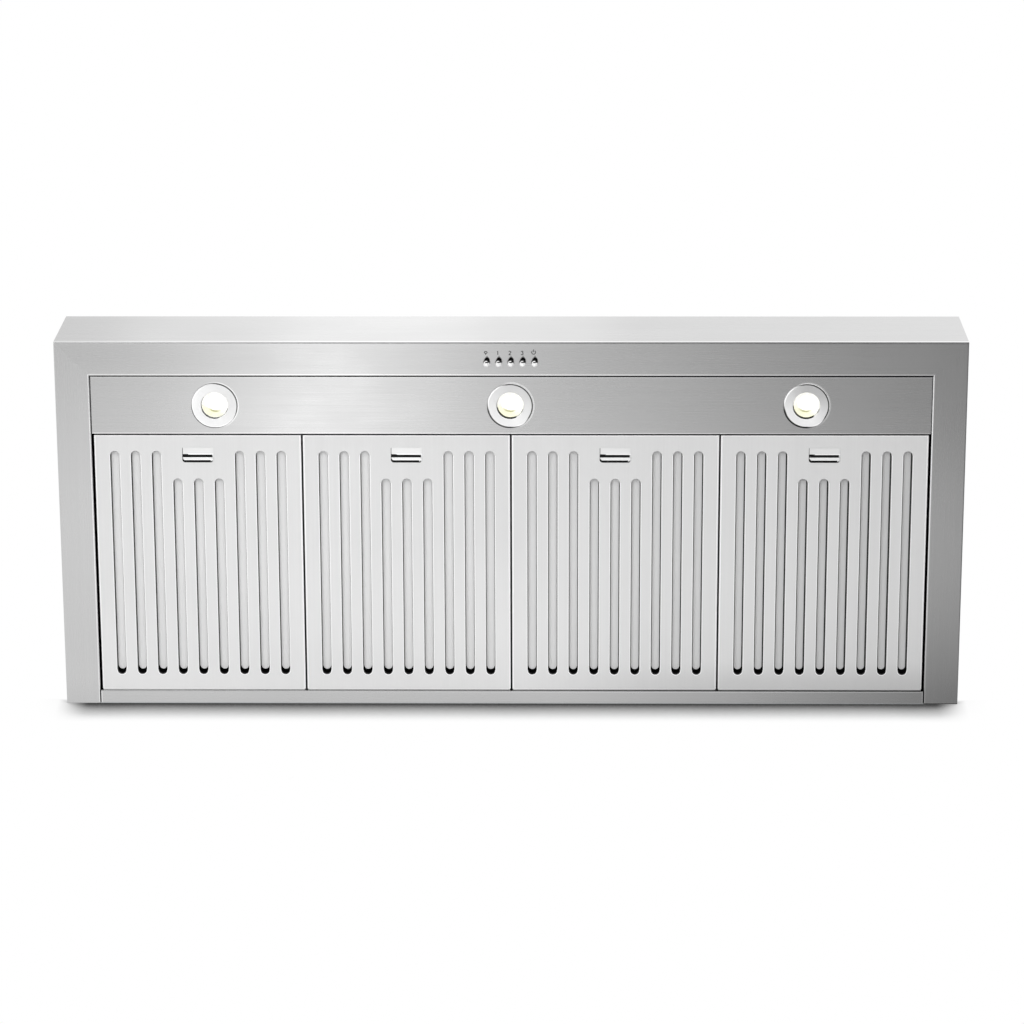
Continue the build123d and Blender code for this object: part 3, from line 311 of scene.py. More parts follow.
def land_light(tree, coords):
    """Painted light: lands of the filters lighter, least in the second one, and towards the rear
    left.
    """
    x, y, z = tree.split(coords)
    share = tree.ramp(
        tree.spread(x, -0.56, 0.56),
        [(0.0, 1.0), (0.15, 0.9), (0.24, 0.1), (0.5, 0.15), (0.58, 0.9), (0.70, 0.8), (0.8, 1.3)],
    )
    middle = tree.product(share, tree.spread(y, -0.30, -0.12, 0.08, 0.18))
    rear = tree.product(tree.spread(x, 0.0, 0.25, 1, 0.3), tree.spread(y, -0.24, -0.10, 0, 0.30))
    return tree.product(tree.math("MAXIMUM", middle, rear), tree.math("LESS_THAN", z, LAND_TOP))


def land_shade(tree, coords):
    """Painted shade: rear lands of the filters on the right, darker."""
    x, y, z = tree.split(coords)
    rear = tree.product(tree.spread(x, 0.0, 0.3, 0, 0.3), tree.spread(y, -0.06, -0.03))
    return tree.product(rear, tree.math("LESS_THAN", z, LAND_TOP))


def web_shade(tree, coords):
    """Painted shade on the webs behind the slots, darker to the right and at the front."""
    x, y, _ = tree.split(coords)
    right = tree.spread(x, -0.10, 0.45, 0, 0.34)
    return tree.math("ADD", right, tree.spread(y, -0.34, -0.20, 0.08, 0))


STREAKS = 0.02
NOISE_LOW, NOISE_HIGH = 0.3, 0.7
GRAIN_DEPTH = 0.00006
DENT_DEPTH = 0.002
CREVICE_REACH = 0.012


def brushed(name, level, roughness, along, anisotropy=0.4, dents=0.0, metallic=1.0,
            place=hood_place, tones=(), crevice=False, marks=()):
    """Brushed sheet: streaks along one axis, fine grain in the bump, soft smudges.

    tones: (low corner, high corner, level) of painted highlights on edges and of painted shade in
    joints where no light gets in, with their corners in the millimetres that place gives.
    marks: (function that says where, level) of painted light and shade.
    crevice: painted shade, near black where ambient occlusion finds a crevice.
    """
    material, tree, shader, coords = new_material(name)
    fine, wide, long = [], [], []
    for axis in "XYZ":
        same = axis == along
        fine.append(9 if same else 2600)
        wide.append(2.2 if same else 420)
        long.append(1.1 if same else 60)
    grain = tree.noise(coords, fine, detail=3, roughness=0.6)
    streak = tree.noise(coords, wide, detail=2)
    band = tree.noise(coords, long, detail=1)
    smudge = tree.noise(coords, (7, 7, 7), detail=3, roughness=0.55)
    tone = tree.math("MULTIPLY_ADD", streak, 0.55, tree.product(band, 0.45))
    dull, bright = grey(level * (1 - STREAKS)), grey(level * (1 + STREAKS))
    colour = tree.mix(tree.spread(tone, NOISE_LOW, NOISE_HIGH), dull, bright)
    spot = place(tree, coords)
    for low, high, shade in tones:
        colour = tree.mix(tree.box(spot, low, high), colour, shade_colour(tree, coords, shade))
    for where, shade in marks:
        colour = tree.mix(where(tree, coords), colour, grey(shade))
    # Painted shade: near black where ambient occlusion finds a crevice
    if crevice:
        gap = tree.node("ShaderNodeAmbientOcclusion", samples=8)
        gap.inputs["Distance"].default_value = CREVICE_REACH
        colour = tree.mix(tree.spread(gap.outputs["AO"], 0.30, 0.62), grey(0.01), colour)
    tree.put(shader.inputs["Base Color"], colour)
    tree.put(shader.inputs["Specular IOR Level"], tree.spread(colour, 0.02, 0.12, 0, 0.5))
    shader.inputs["Metallic"].default_value = metallic
    rough = tree.math(
        "ADD",
        tree.spread(grain, NOISE_LOW, NOISE_HIGH, roughness - 0.03, roughness + 0.03),
        tree.spread(smudge, 0.35, NOISE_HIGH, -0.01, 0.03),
    )
    tree.put(shader.inputs["Roughness"], rough)
    shader.inputs["Anisotropic"].default_value = anisotropy
    normal = tree.node("ShaderNodeNewGeometry").outputs["Normal"]
    tree.link(tree.vector("CROSS_PRODUCT", normal, GRAIN[along]), shader.inputs["Tangent"])
    bump = tree.node("ShaderNodeBump")
    bump.inputs["Strength"].default_value = 0.12
    bump.inputs["Distance"].default_value = GRAIN_DEPTH
    tree.link(grain, bump.inputs["Height"])
    if dents:
        wave = tree.node("ShaderNodeBump")
        wave.inputs["Strength"].default_value = dents
        wave.inputs["Distance"].default_value = DENT_DEPTH
        tree.link(tree.noise(coords, (5, 5, 5), detail=0), wave.inputs["Height"])
        tree.link(wave.outputs[0], bump.inputs["Normal"])
    tree.link(bump.outputs[0], shader.inputs["Normal"])
    return material


def worn(name, paint, roughness, metallic, mottle, size, bump_depth, coat=0.0):
    """Plain finish with a mottled tone, uneven gloss and a fine surface texture."""
    material, tree, shader, coords = new_material(name)
    cloud = tree.noise(coords, (9, 9, 9), detail=4, roughness=0.6)
    speck = tree.noise(coords, (size, size, size), detail=3, roughness=0.65)
    tone = tree.math("MULTIPLY_ADD", cloud, 0.5, tree.product(speck, 0.5))
    low = tuple(c * (1 - mottle) for c in paint) + (1,)
    high = tuple(min(1, c * (1 + mottle)) for c in paint) + (1,)
    colour = tree.mix(tree.spread(tone, NOISE_LOW, NOISE_HIGH), low, high)
    tree.put(shader.inputs["Base Color"], colour)
    shader.inputs["Metallic"].default_value = metallic
    shader.inputs["Coat Weight"].default_value = coat
    tree.put(shader.inputs["Roughness"],
             tree.spread(tone, NOISE_LOW, NOISE_HIGH, roughness - 0.05, roughness + 0.06))
    bump = tree.node("ShaderNodeBump")
    bump.inputs["Strength"].default_value = 0.35
    bump.inputs["Distance"].default_value = bump_depth
    tree.link(speck, bump.inputs["Height"])
    tree.link(bump.outputs[0], shader.inputs["Normal"])
    return material


def spangled(name, colour, roughness):
    """Galvanised sheet: crystal patches of slightly different tone and gloss."""
    material, tree, shader, coords = new_material(name)
    cells = tree.node("ShaderNodeTexVoronoi", feature="F1")
    cells.inputs["Scale"].default_value = 85
    tree.link(coords, cells.inputs["Vector"])
    patch = tree.vector("DOT_PRODUCT", cells.outputs["Color"], (0.4, 0.3, 0.3))
    cloud = tree.noise(coords, (12, 12, 12), detail=4)
    tone = tree.math("MULTIPLY_ADD", patch, 0.6, tree.product(cloud, 0.4))
    low = tuple(c * 0.84 for c in colour) + (1,)
    high = tuple(c * 1.12 for c in colour) + (1,)
    tree.put(shader.inputs["Base Color"], tree.mix(tone, low, high))
    shader.inputs["Metallic"].default_value = 1
    tree.put(shader.inputs["Roughness"],
             tree.spread(tone, 0.2, 0.8, roughness - 0.08, roughness + 0.08))
    return material


LIGHT_SPACING = 396
LIGHT_Y = -422.2
RING_SHIFT = -0.8
HALO = (31.2, 32.8)
LEFT_LAMP, MIDDLE_LAMP, RIGHT_LAMP = -0.4, 0.0, 0.4


def lamp_place(tree, coords):
    """Place about the axis of the nearest lamp, in millimetres: X, Y, and the distance."""
    across, along, _ = tree.split(coords)
    turn = tree.math("MULTIPLY_ADD", across, 1 / (LIGHT_SPACING * MM), 0.5)
    x = tree.math("MULTIPLY_ADD", tree.math("FRACT", turn), LIGHT_SPACING,
                  -0.5 * LIGHT_SPACING - RING_SHIFT)
    y = tree.math("SUBTRACT", tree.product(along, PER_METRE), LIGHT_Y)
    return x, y, tree.distance(x, y)


def lean(tree, spot, angle, about_axis=True):
    """How far a spot lies towards an angle (0: right, 90: front): a cosine or millimetres."""
    x, y, away = spot
    turn = math.radians(angle)
    reach = tree.math("MULTIPLY_ADD", x, math.cos(turn), tree.product(y, -math.sin(turn)))
    return tree.math("DIVIDE", reach, away) if about_axis else reach


def lamp_halo(tree, coords):
    """Narrow line of light on the panel, beside the right of each trim ring."""
    spot = lamp_place(tree, coords)
    right = tree.spread(lean(tree, spot, 20), 0.0, 0.5)
    return tree.product(tree.box(spot[2:], HALO[:1], HALO[1:]), right)


# Tones: painted highlights on edges and folds, painted shade in joints, gaps, hollows and at the
# rear edge, and a plain grey on the backs of the baffles: low corner, high corner (None: no limit),
# level
STEEL = 0.70
EDGE_HIGHLIGHT = 0.97
DEEP_SHADE = 0.012
HOOD_TONES = (
    ((None, -466.4, None), (563.2, -464.4, 0.2), EDGE_HIGHLIGHT),
    ((563.6, -466.0, None), (565.3, None, 0.2), EDGE_HIGHLIGHT),
    ((None, -511, 2.4), (None, -509.8, 7.6), EDGE_HIGHLIGHT),
    ((None, -511, 0.6), (None, -508.6, 2.4), (0.55, 0.22)),
    ((None, -509.6, None), (None, -508.0, 0.6), (0.97, 0.42)),
    ((None, -464.2, 0.45), (563.35, -462.8, 16), DEEP_SHADE),
    ((None, -462.8, 5.0), (563.35, None, 16), DEEP_SHADE),
    ((None, -462.8, 0.2), (564.0, None, 3.0), EDGE_HIGHLIGHT),
    ((None, -1.0, None), (None, None, 3), (0.6, 0.05)),
)
PANEL_TONES = (
    ((None, -462.4, None), (None, -461.6, None), (0.97, 0.2)),
    ((None, -461.6, None), (None, -460.4, None), (0.76, 0.92)),
    ((None, -384.6, None), (None, -383.0, None), EDGE_HIGHLIGHT),
    ((None, None, None), (None, -462.4, None), DEEP_SHADE),
    ((None, -382.9, None), (None, None, None), DEEP_SHADE),
    ((562.2, None, None), (None, None, None), DEEP_SHADE),
)
RAIL_TONES = (
    ((None, None, None), (None, -16.2, 0.2), (0.70, 0.95)),
    ((560.6, None, None), (561.9, None, 0.2), EDGE_HIGHLIGHT),
    ((None, None, 0.2), (None, -17.4, None), (0.62, DEEP_SHADE)),
    ((562.1, None, None), (None, None, None), DEEP_SHADE),
    ((None, -1.0, None), (None, None, 3), (0.6, 0.05)),
)
FILTER_TONES = (
    ((137.0, None, None), (None, None, 3.1), 0.93),
    ((None, None, None), (-137.0, None, 3.1), 0.93),
    ((None, None, None), (None, -379.2, 3.1), 0.85),
    ((None, None, 3.6), (None, -380.4, 20), DEEP_SHADE),
    ((None, None, 2.2), (None, -380.9, 3.6), (0.2, DEEP_SHADE)),
    ((None, -21.4, None), (None, -19.4, 3.1), 0.80),
    ((None, -19.4, None), (None, -18.2, 3.1), (0.62, 0.2)),
    ((None, -18.2, None), (None, -17.0, 3.1), (0.62, DEEP_SHADE)),
    ((-121, -361, 3.2), (121, -48, 9), 0.06),
    ((-121, -48, 3.2), (121, -40, 9), DEEP_SHADE),
)
BAFFLE_TONES = (
    ((None, None, 12.2), (None, None, 12.6), (0.85, 0.80)),
    ((None, None, 12.6), (None, None, 13.0), DEEP_SHADE),
    ((None, None, 13.0), (None, None, None), 0.5),
    ((None, None, None), (None, None, 11.9), 0.16),
)
LATCH_TONES = (
    ((-15, -354.7, None), (None, -353.4, None), EDGE_HIGHLIGHT),
    ((None, -350.1, None), (None, -349, 2), EDGE_HIGHLIGHT),
    ((None, -347.6, None), (None, -346.3, 2), EDGE_HIGHLIGHT),
    ((None, -346.3, None), (17.2, -344.0, None), 0.02),
    ((None, -347.0, None), (-18.2, -344.0, 2), DEEP_SHADE),
    ((None, -348.2, None), (-19.3, -344.0, 2), DEEP_SHADE),
    ((None, -345.6, 3.0), (17.2, None, None), DEEP_SHADE),
    ((None, None, 3.0), (-20.2, None, None), 0.15),
    ((None, -353.3, 3.0), (19.3, None, None), DEEP_SHADE),
    ((None, -354.1, 3.0), (-13, None, None), DEEP_SHADE),
)
materials = {
    "stainless_x": brushed("stainless_x", STEEL, 0.28, "X", dents=0.1, tones=HOOD_TONES,
                           marks=((painted_button_reflection, 0.01),)),
    "stainless_y": brushed("stainless_y", STEEL, 0.28, "Y", dents=0.1, tones=HOOD_TONES),
    "panel_stainless": brushed("panel_stainless", STEEL, 0.28, "X", dents=0.1,
                               tones=PANEL_TONES, marks=((lamp_halo, EDGE_HIGHLIGHT),)),
    "rail_stainless": brushed("rail_stainless", STEEL, 0.28, "X", tones=RAIL_TONES),
    "filter_stainless": brushed("filter_stainless", STEEL, 0.36, "Y", 0.6, metallic=0.47,
                                place=filter_place, tones=FILTER_TONES, crevice=True,
                                marks=((land_light, 0.97), (land_shade, 0.40),
                                       (slot_edge_shade, 0.05), (slot_rim_highlight, 0.97))),
    # Near-white base on the baffles: painted light for the webs, which sit in shade behind the
    # slots
    "baffle_stainless": brushed("baffle_stainless", 0.97, 0.40, "Y", 0.5, metallic=0.15,
                                place=filter_place, tones=BAFFLE_TONES,
                                marks=((web_shade, 0.30), (web_sides, 0.05),
                                       (web_end_shade, 0.004))),
    "latch_stainless": brushed("latch_stainless", 0.78, 0.30, "X", 0.5, metallic=0.4,
                               place=filter_place, tones=LATCH_TONES),
    "dark_steel": worn("dark_steel", (0.02, 0.02, 0.02), 0.5, 0.3, 0.15, 300, 0.00004),
    "galvanised": spangled("galvanised", (0.60, 0.62, 0.63), 0.42),
    "lamp_aluminium": worn("lamp_aluminium", (0.56, 0.56, 0.58), 0.42, 1.0, 0.1, 260, 0.0001),
    "fastener": worn("fastener", (0.66, 0.66, 0.68), 0.3, 1.0, 0.08, 500, 0.00002),
    "motor_paint": worn("motor_paint", (0.035, 0.035, 0.037), 0.38, 0.0, 0.2, 380, 0.00008, 0.3),
    "wheel_steel": worn("wheel_steel", (0.045, 0.045, 0.047), 0.42, 0.0, 0.2, 260, 0.00005),
    "damper_aluminium": worn("damper_aluminium", (0.70, 0.71, 0.72), 0.36, 1.0, 0.06, 160, 0.00003),
    "black_plastic": worn("black_plastic", (0.012, 0.012, 0.013), 0.36, 0.0, 0.2, 420, 0.00006),
    "white_plastic": worn("white_plastic", (0.80, 0.80, 0.78), 0.42, 0.0, 0.03, 320, 0.00004),
    "lead_rubber": worn("lead_rubber", (0.02, 0.02, 0.021), 0.6, 0.0, 0.15, 420, 0.00006),
}


def glass(name, colour, roughness):
    """Clear lens with an uneven polish."""
    material, tree, shader, coords = new_material(name)
    shader.inputs["Base Color"].default_value = colour + (1,)
    shader.inputs["IOR"].default_value = 1.49
    shader.inputs["Transmission Weight"].default_value = 1
    ripple = tree.noise(coords, (260, 260, 260), detail=2)
    tree.put(shader.inputs["Roughness"],
             tree.spread(ripple, NOISE_LOW, NOISE_HIGH, roughness, roughness + 0.04))
    return material


def chrome(name):
    """Polished cap, with a painted dark reflection on its front side inside a bright rim."""
    material, tree, shader, coords = new_material(name)
    speck = tree.noise(coords, (900, 900, 900), detail=2)
    bright = tree.mix(speck, grey(0.84), grey(0.92))
    x, y, z = tree.split(tree.node("ShaderNodeNewGeometry").outputs["Normal"])
    # Painted dark reflection on the front side of the cap, near its tip and to the right
    front = tree.spread(y, -0.38, -0.48)
    steep = tree.math("SUBTRACT", 1.0, tree.product(z, z))
    inner = tree.spread(steep, 0.50, 0.58, 1, 0)
    right = tree.spread(x, 0.05, 0.35)
    dark_reflection = tree.product(front, tree.math("MAXIMUM", inner, right))
    tree.put(shader.inputs["Base Color"], tree.mix(dark_reflection, bright, grey(0.012)))
    shader.inputs["Metallic"].default_value = 0.3
    tree.put(shader.inputs["Roughness"], tree.spread(speck, NOISE_LOW, NOISE_HIGH, 0.06, 0.10))
    return material


def trim(name):
    """Satin dish with painted light and shade: brighter to the rear left, with a painted highlight
    on the rim inside a thin painted dark outline.

    Its painted lines are stronger in the two rings on the right.
    """
    material, tree, shader, coords = new_material(name)
    spot = lamp_place(tree, coords)
    speck = tree.noise(coords, (700, 700, 700), detail=3)
    away = spot[2]
    shade = tree.spread(lean(tree, spot, 62), -0.7, 0.9)
    colour = tree.mix(shade, grey(0.84), shade_colour(tree, coords, (0.76, 0.46)))
    colour = tree.mix(tree.spread(speck, NOISE_LOW, NOISE_HIGH, 0.03, 0), colour, grey(0.4))
    # Painted highlight on the rim to the rear left, a painted dark outline, and a painted bright
    # line beyond it on the front of the middle and right rings
    left = tree.spread(lean(tree, spot, 215), -0.35, 0.25)
    rim = tree.product(left, tree.spread(away, 28.7, 29.1))
    colour = tree.mix(rim, colour, grey(1.0))
    across = tree.split(coords)["X"]
    begin = tree.spread(across, LEFT_LAMP, MIDDLE_LAMP, 0.3, 0.02)
    front = tree.spread(tree.math("SUBTRACT", lean(tree, spot, 34), begin), 0, 0.4)
    rear = tree.spread(lean(tree, spot, 233), 0.38, 0.78)
    dark = shade_colour(tree, coords, (0.08, 0.01))
    line = tree.mix(tree.math("MAXIMUM", front, rear), grey(0.36), dark)
    inward = tree.spread(across, LEFT_LAMP, MIDDLE_LAMP, -0.9, -1.8)
    start = tree.math("MULTIPLY_ADD", front, inward, 30.5)
    inward = tree.spread(across, LEFT_LAMP, 0.1, -0.9, -2.1)
    start = tree.math("MULTIPLY_ADD", rear, inward, start)
    outer = tree.product(front, tree.spread(across, LEFT_LAMP, MIDDLE_LAMP),
                         tree.spread(away, 30.3, 30.6))
    line = tree.mix(outer, line, grey(0.9))
    colour = tree.mix(tree.spread(tree.math("SUBTRACT", away, start), 0, 0.3), colour, line)
    tree.put(shader.inputs["Base Color"], colour)
    shader.inputs["Metallic"].default_value = 0.3
    tree.put(shader.inputs["Roughness"], tree.spread(speck, NOISE_LOW, NOISE_HIGH, 0.31, 0.38))
    return material


def throat(name):
    """Wall between trim and lens: painted shadow to the rear left and a thin painted dark tick to
    the right, pale elsewhere.
    """
    material, tree, shader, coords = new_material(name)
    spot = lamp_place(tree, coords)
    speck = tree.noise(coords, (500, 500, 500), detail=2)
    pale = tree.mix(speck, (0.86, 0.86, 0.83, 1), (0.95, 0.95, 0.92, 1))
    tick = tree.spread(lean(tree, spot, 335), 0.980, 0.990, 0, 0.5)
    across, _, level = tree.split(coords)
    reach = tree.spread(across, LEFT_LAMP, RIGHT_LAMP, 0.66, 0.42)
    crescent = tree.spread(tree.math("SUBTRACT", lean(tree, spot, 244), reach), 0, 0.12)
    depth = tree.spread(across, LEFT_LAMP, RIGHT_LAMP, 0.0059, 0.0075)
    crescent = tree.product(crescent, tree.math("LESS_THAN", level, depth))
    dark = tree.math("MAXIMUM", crescent, tick)
    tree.put(shader.inputs["Base Color"], tree.mix(dark, pale, (0.006, 0.006, 0.003, 1)))
    tree.put(shader.inputs["Specular IOR Level"], tree.spread(dark, 0, 1, 0.5, 0))
    shader.inputs["Roughness"].default_value = 0.4
    return material


def glow(name, colour, strength, angle=None, reach=None):
    """Lamp surface that gives a little of its own light; with an angle, its tint is painted only
    towards that side of the lens, near white elsewhere, as painted light and shade.
    """
    material, tree, shader, coords = new_material(name)
    speck = tree.noise(coords, (400, 400, 400), detail=2)
    low = tuple(c * 0.96 for c in colour) + (1,)
    tone = tree.mix(tree.spread(speck, NOISE_LOW, NOISE_HIGH), low, colour + (1,))
    if angle is not None:
        # Painted light and shade: the tint shows only towards the angle
        lit = lean(tree, lamp_place(tree, coords), angle, about_axis=False)
        tone = tree.mix(tree.spread(lit, *reach), (0.98, 0.98, 0.95, 1), tone)
    tree.put(shader.inputs["Base Color"], tone)
    tree.put(shader.inputs["Emission Color"], tone)
    shader.inputs["Emission Strength"].default_value = strength
    shader.inputs["Roughness"].default_value = 0.4
    return material


materials["button_chrome"] = chrome("button_chrome")
materials["trim_satin"] = trim("trim_satin")
materials["lamp_throat"] = throat("lamp_throat")
materials["lens_glass"] = glass("lens_glass", (1.0, 0.99, 0.94), 0.03)
materials["lamp_white"] = glow("lamp_white", (0.97, 0.97, 0.95), 0.45)
materials["lamp_yellow"] = glow("lamp_yellow", (0.84, 0.83, 0.63), 0.06, 248, (2, 11))
materials["lamp_olive"] = glow("lamp_olive", (0.46, 0.45, 0.26), 0.05, 260, (7.0, 11.2))

# Finish of each CAD node: the one of its material slot, with a few of their own
slot_of = {row["node"]: row["material_slot"] for row in frame["record"]["subparts"]}
OWN_FINISH = {
    "left_panel": "stainless_y",
    "right_panel": "stainless_y",
    "light_panel": "panel_stainless",
    "rear_rail": "rail_stainless",
    # Latch guides near black, as painted shade behind the latch windows
    **{f"filter_{number}_latch_guide": "dark_steel" for number in range(1, 5)},
}
materials["stainless"] = materials["stainless_x"]
for name, node in nodes.items():
    slot = OWN_FINISH.get(name, slot_of[name])
    node.data.materials.clear()
    node.data.materials.append(materials[slot])


# Mesh helpers
SMOOTH_ANGLE = 30


def add_piece(name, mesh, body, material_names):
    """Adds a mesh that rides on a body, with the materials named."""
    piece = bpy.data.objects.new(name, mesh)
    bpy.context.scene.collection.objects.link(piece)
    for material_name in material_names:
        mesh.materials.append(materials[material_name])
    mesh.shade_smooth()
    mesh.set_sharp_from_angle(angle=math.radians(SMOOTH_ANGLE))
    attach(piece, body)
    return piece


def lathe(name, centre, rings, steps):
    """Turned part about Z. rings: (radius, z, material index of the band that follows), in mm."""
    mesh = bpy.data.meshes.new(name)
    made = bmesh.new()
    rows = []
    for radius, level, _ in rings:
        if radius == 0:
            rows.append([made.verts.new((centre[0] * MM, centre[1] * MM, level * MM))])
            continue
        rows.append([
            made.verts.new((
                (centre[0] + radius * math.cos(2 * math.pi * step / steps)) * MM,
                (centre[1] + radius * math.sin(2 * math.pi * step / steps)) * MM,
                level * MM,
            ))
            for step in range(steps)
        ])
    for (_, _, index), low, high in zip(rings, rows, rows[1:]):
        for step in range(steps):
            after = (step + 1) % steps
            corners = [low[step % len(low)], low[after % len(low)],
                       high[after % len(high)], high[step % len(high)]]
            face = made.faces.new(list(dict.fromkeys(corners)))
            face.material_index = index
    bmesh.ops.recalc_face_normals(made, faces=made.faces)
    made.to_mesh(mesh)
    made.free()
    return mesh


def arc(centre_radius, centre_level, radius, start, end, count, index):
    """Points of a round edge in a lathe profile, angles in degrees from +radius towards +z."""
    return [
        (
            centre_radius + radius * math.cos(math.radians(start + (end - start) * step / count)),
            centre_level + radius * math.sin(math.radians(start + (end - start) * step / count)),
            index,
        )
        for step in range(count + 1)
    ]


# Push buttons: a polished cap on a black shank, with the stop and plunger inside the block
BUTTON_XS = [place * BUTTON_PITCH for place in (-2, -1, 0, 1, 2)]
BUTTON_Y = -482
CHROME, BLACK = 0, 1
for number, button_x in enumerate(BUTTON_XS, start=1):
    cap = [(0, -8.5, CHROME)] + arc(0, -3.99, 4.51, -84, -19.6, 16, CHROME)
    cap += [(4.1, -5.4, BLACK), (3.8, -5.3, BLACK), (3.8, -5.0, BLACK),
            (4.1, -4.9, BLACK), (4.2, -4.7, BLACK), (4.2, 4.35, BLACK), (4.25, 4.4, BLACK),
            (5.7, 4.4, BLACK), (5.8, 4.5, BLACK), (5.8, 6.3, BLACK), (5.7, 6.4, BLACK),
            (2.4, 6.4, BLACK), (2.4, 9.2, BLACK), (2.2, 9.4, BLACK), (0, 9.4, BLACK)]
    mesh = lathe(f"button_{number}_pin", (button_x, BUTTON_Y), cap, 64)
    pin = add_piece(f"button_{number}_pin", mesh, f"button_{number}",
                    ("button_chrome", "black_plastic"))
    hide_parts(f"button_{number}")


# Icons over the buttons: thin black strokes on the underside of the front flange
ICON_DEPTH = 0.05
STROKE = 0.95
ICON_SCALE = 0.8


def ribbon(made, points):
    """Adds one flat stroke along points (mm, in the plane z = 0) to a bmesh."""
    last = len(points) - 1
    left, right = [], []
    for index, point in enumerate(points):
        before, after = points[max(index - 1, 0)], points[min(index + 1, last)]
        run = (Vector(after) - Vector(before)).normalized()
        side = Vector((-run.y, run.x)) * STROKE / 2
        left.append(Vector(point) + side)
        right.append(Vector(point) - side)
    levels = (-ICON_DEPTH, ICON_DEPTH)
    rows = [[made.verts.new((p.x * MM, p.y * MM, level * MM)) for p in line]
            for level in levels for line in (left, right)]
    for index in range(last):
        for a, b in zip((rows[0], rows[1], rows[3], rows[2]),
                        (rows[1], rows[3], rows[2], rows[0])):
            made.faces.new((a[index], a[index + 1], b[index + 1], b[index]))
    for end in (0, -1):
        made.faces.new((rows[0][end], rows[1][end], rows[3][end], rows[2][end]))


def circle_points(centre, radius, start, end, count):
    """Points of an arc in the plane of the icons, whose second axis points down."""
    return [
        (centre[0] + radius * math.cos(math.radians(start + (end - start) * step / count)),
         centre[1] - radius * math.sin(math.radians(start + (end - start) * step / count)))
        for step in range(count + 1)
    ]


def icon(name, strokes, place):
    """Strokes, each a list of points in millimetres from place, before they are scaled."""
    made = bmesh.new()
    for points in strokes:
        ribbon(made, [(place[0] + ICON_SCALE * u, place[1] + ICON_SCALE * v) for u, v in points])
    bmesh.ops.recalc_face_normals(made, faces=made.faces)
    mesh = bpy.data.meshes.new(name)
    made.to_mesh(mesh)
    made.free()
    add_piece(name, mesh, "hood", ("black_plastic",))


ICON_Y = -495.6
icon("icon_light", [
    [(u, 0.72 * v - 0.9) for u, v in circle_points((0, 0), 2.4, 0, 360, 22)],
    [(0, 0.8), (0, 3.2)],
], (BUTTON_XS[0] - 1.1, ICON_Y))
icon("icon_speed_1", [
    [(-0.9, -2.2), (0.2, -3.2), (0.2, 3.2)],
], (BUTTON_XS[1] - 1.1, ICON_Y))
icon("icon_speed_2", [
    circle_points((0, -1.5), 1.6, 170, -40, 14) + [(-1.7, 3.2)],
    [(-1.7, 3.1), (1.8, 3.1)],
], (BUTTON_XS[2] - 0.9, ICON_Y))
icon("icon_speed_3", [
    circle_points((-0.1, -1.6), 1.55, 160, -90, 14),
    circle_points((-0.1, 1.5), 1.7, 90, -160, 14),
], (BUTTON_XS[3] - 0.6, ICON_Y))
icon("icon_power", [
    circle_points((0, -0.2), 3.2, 125, 415, 28),
    [(0, -5.0), (0, -0.9)],
], (BUTTON_XS[4] - 1.3, ICON_Y - 0.7))


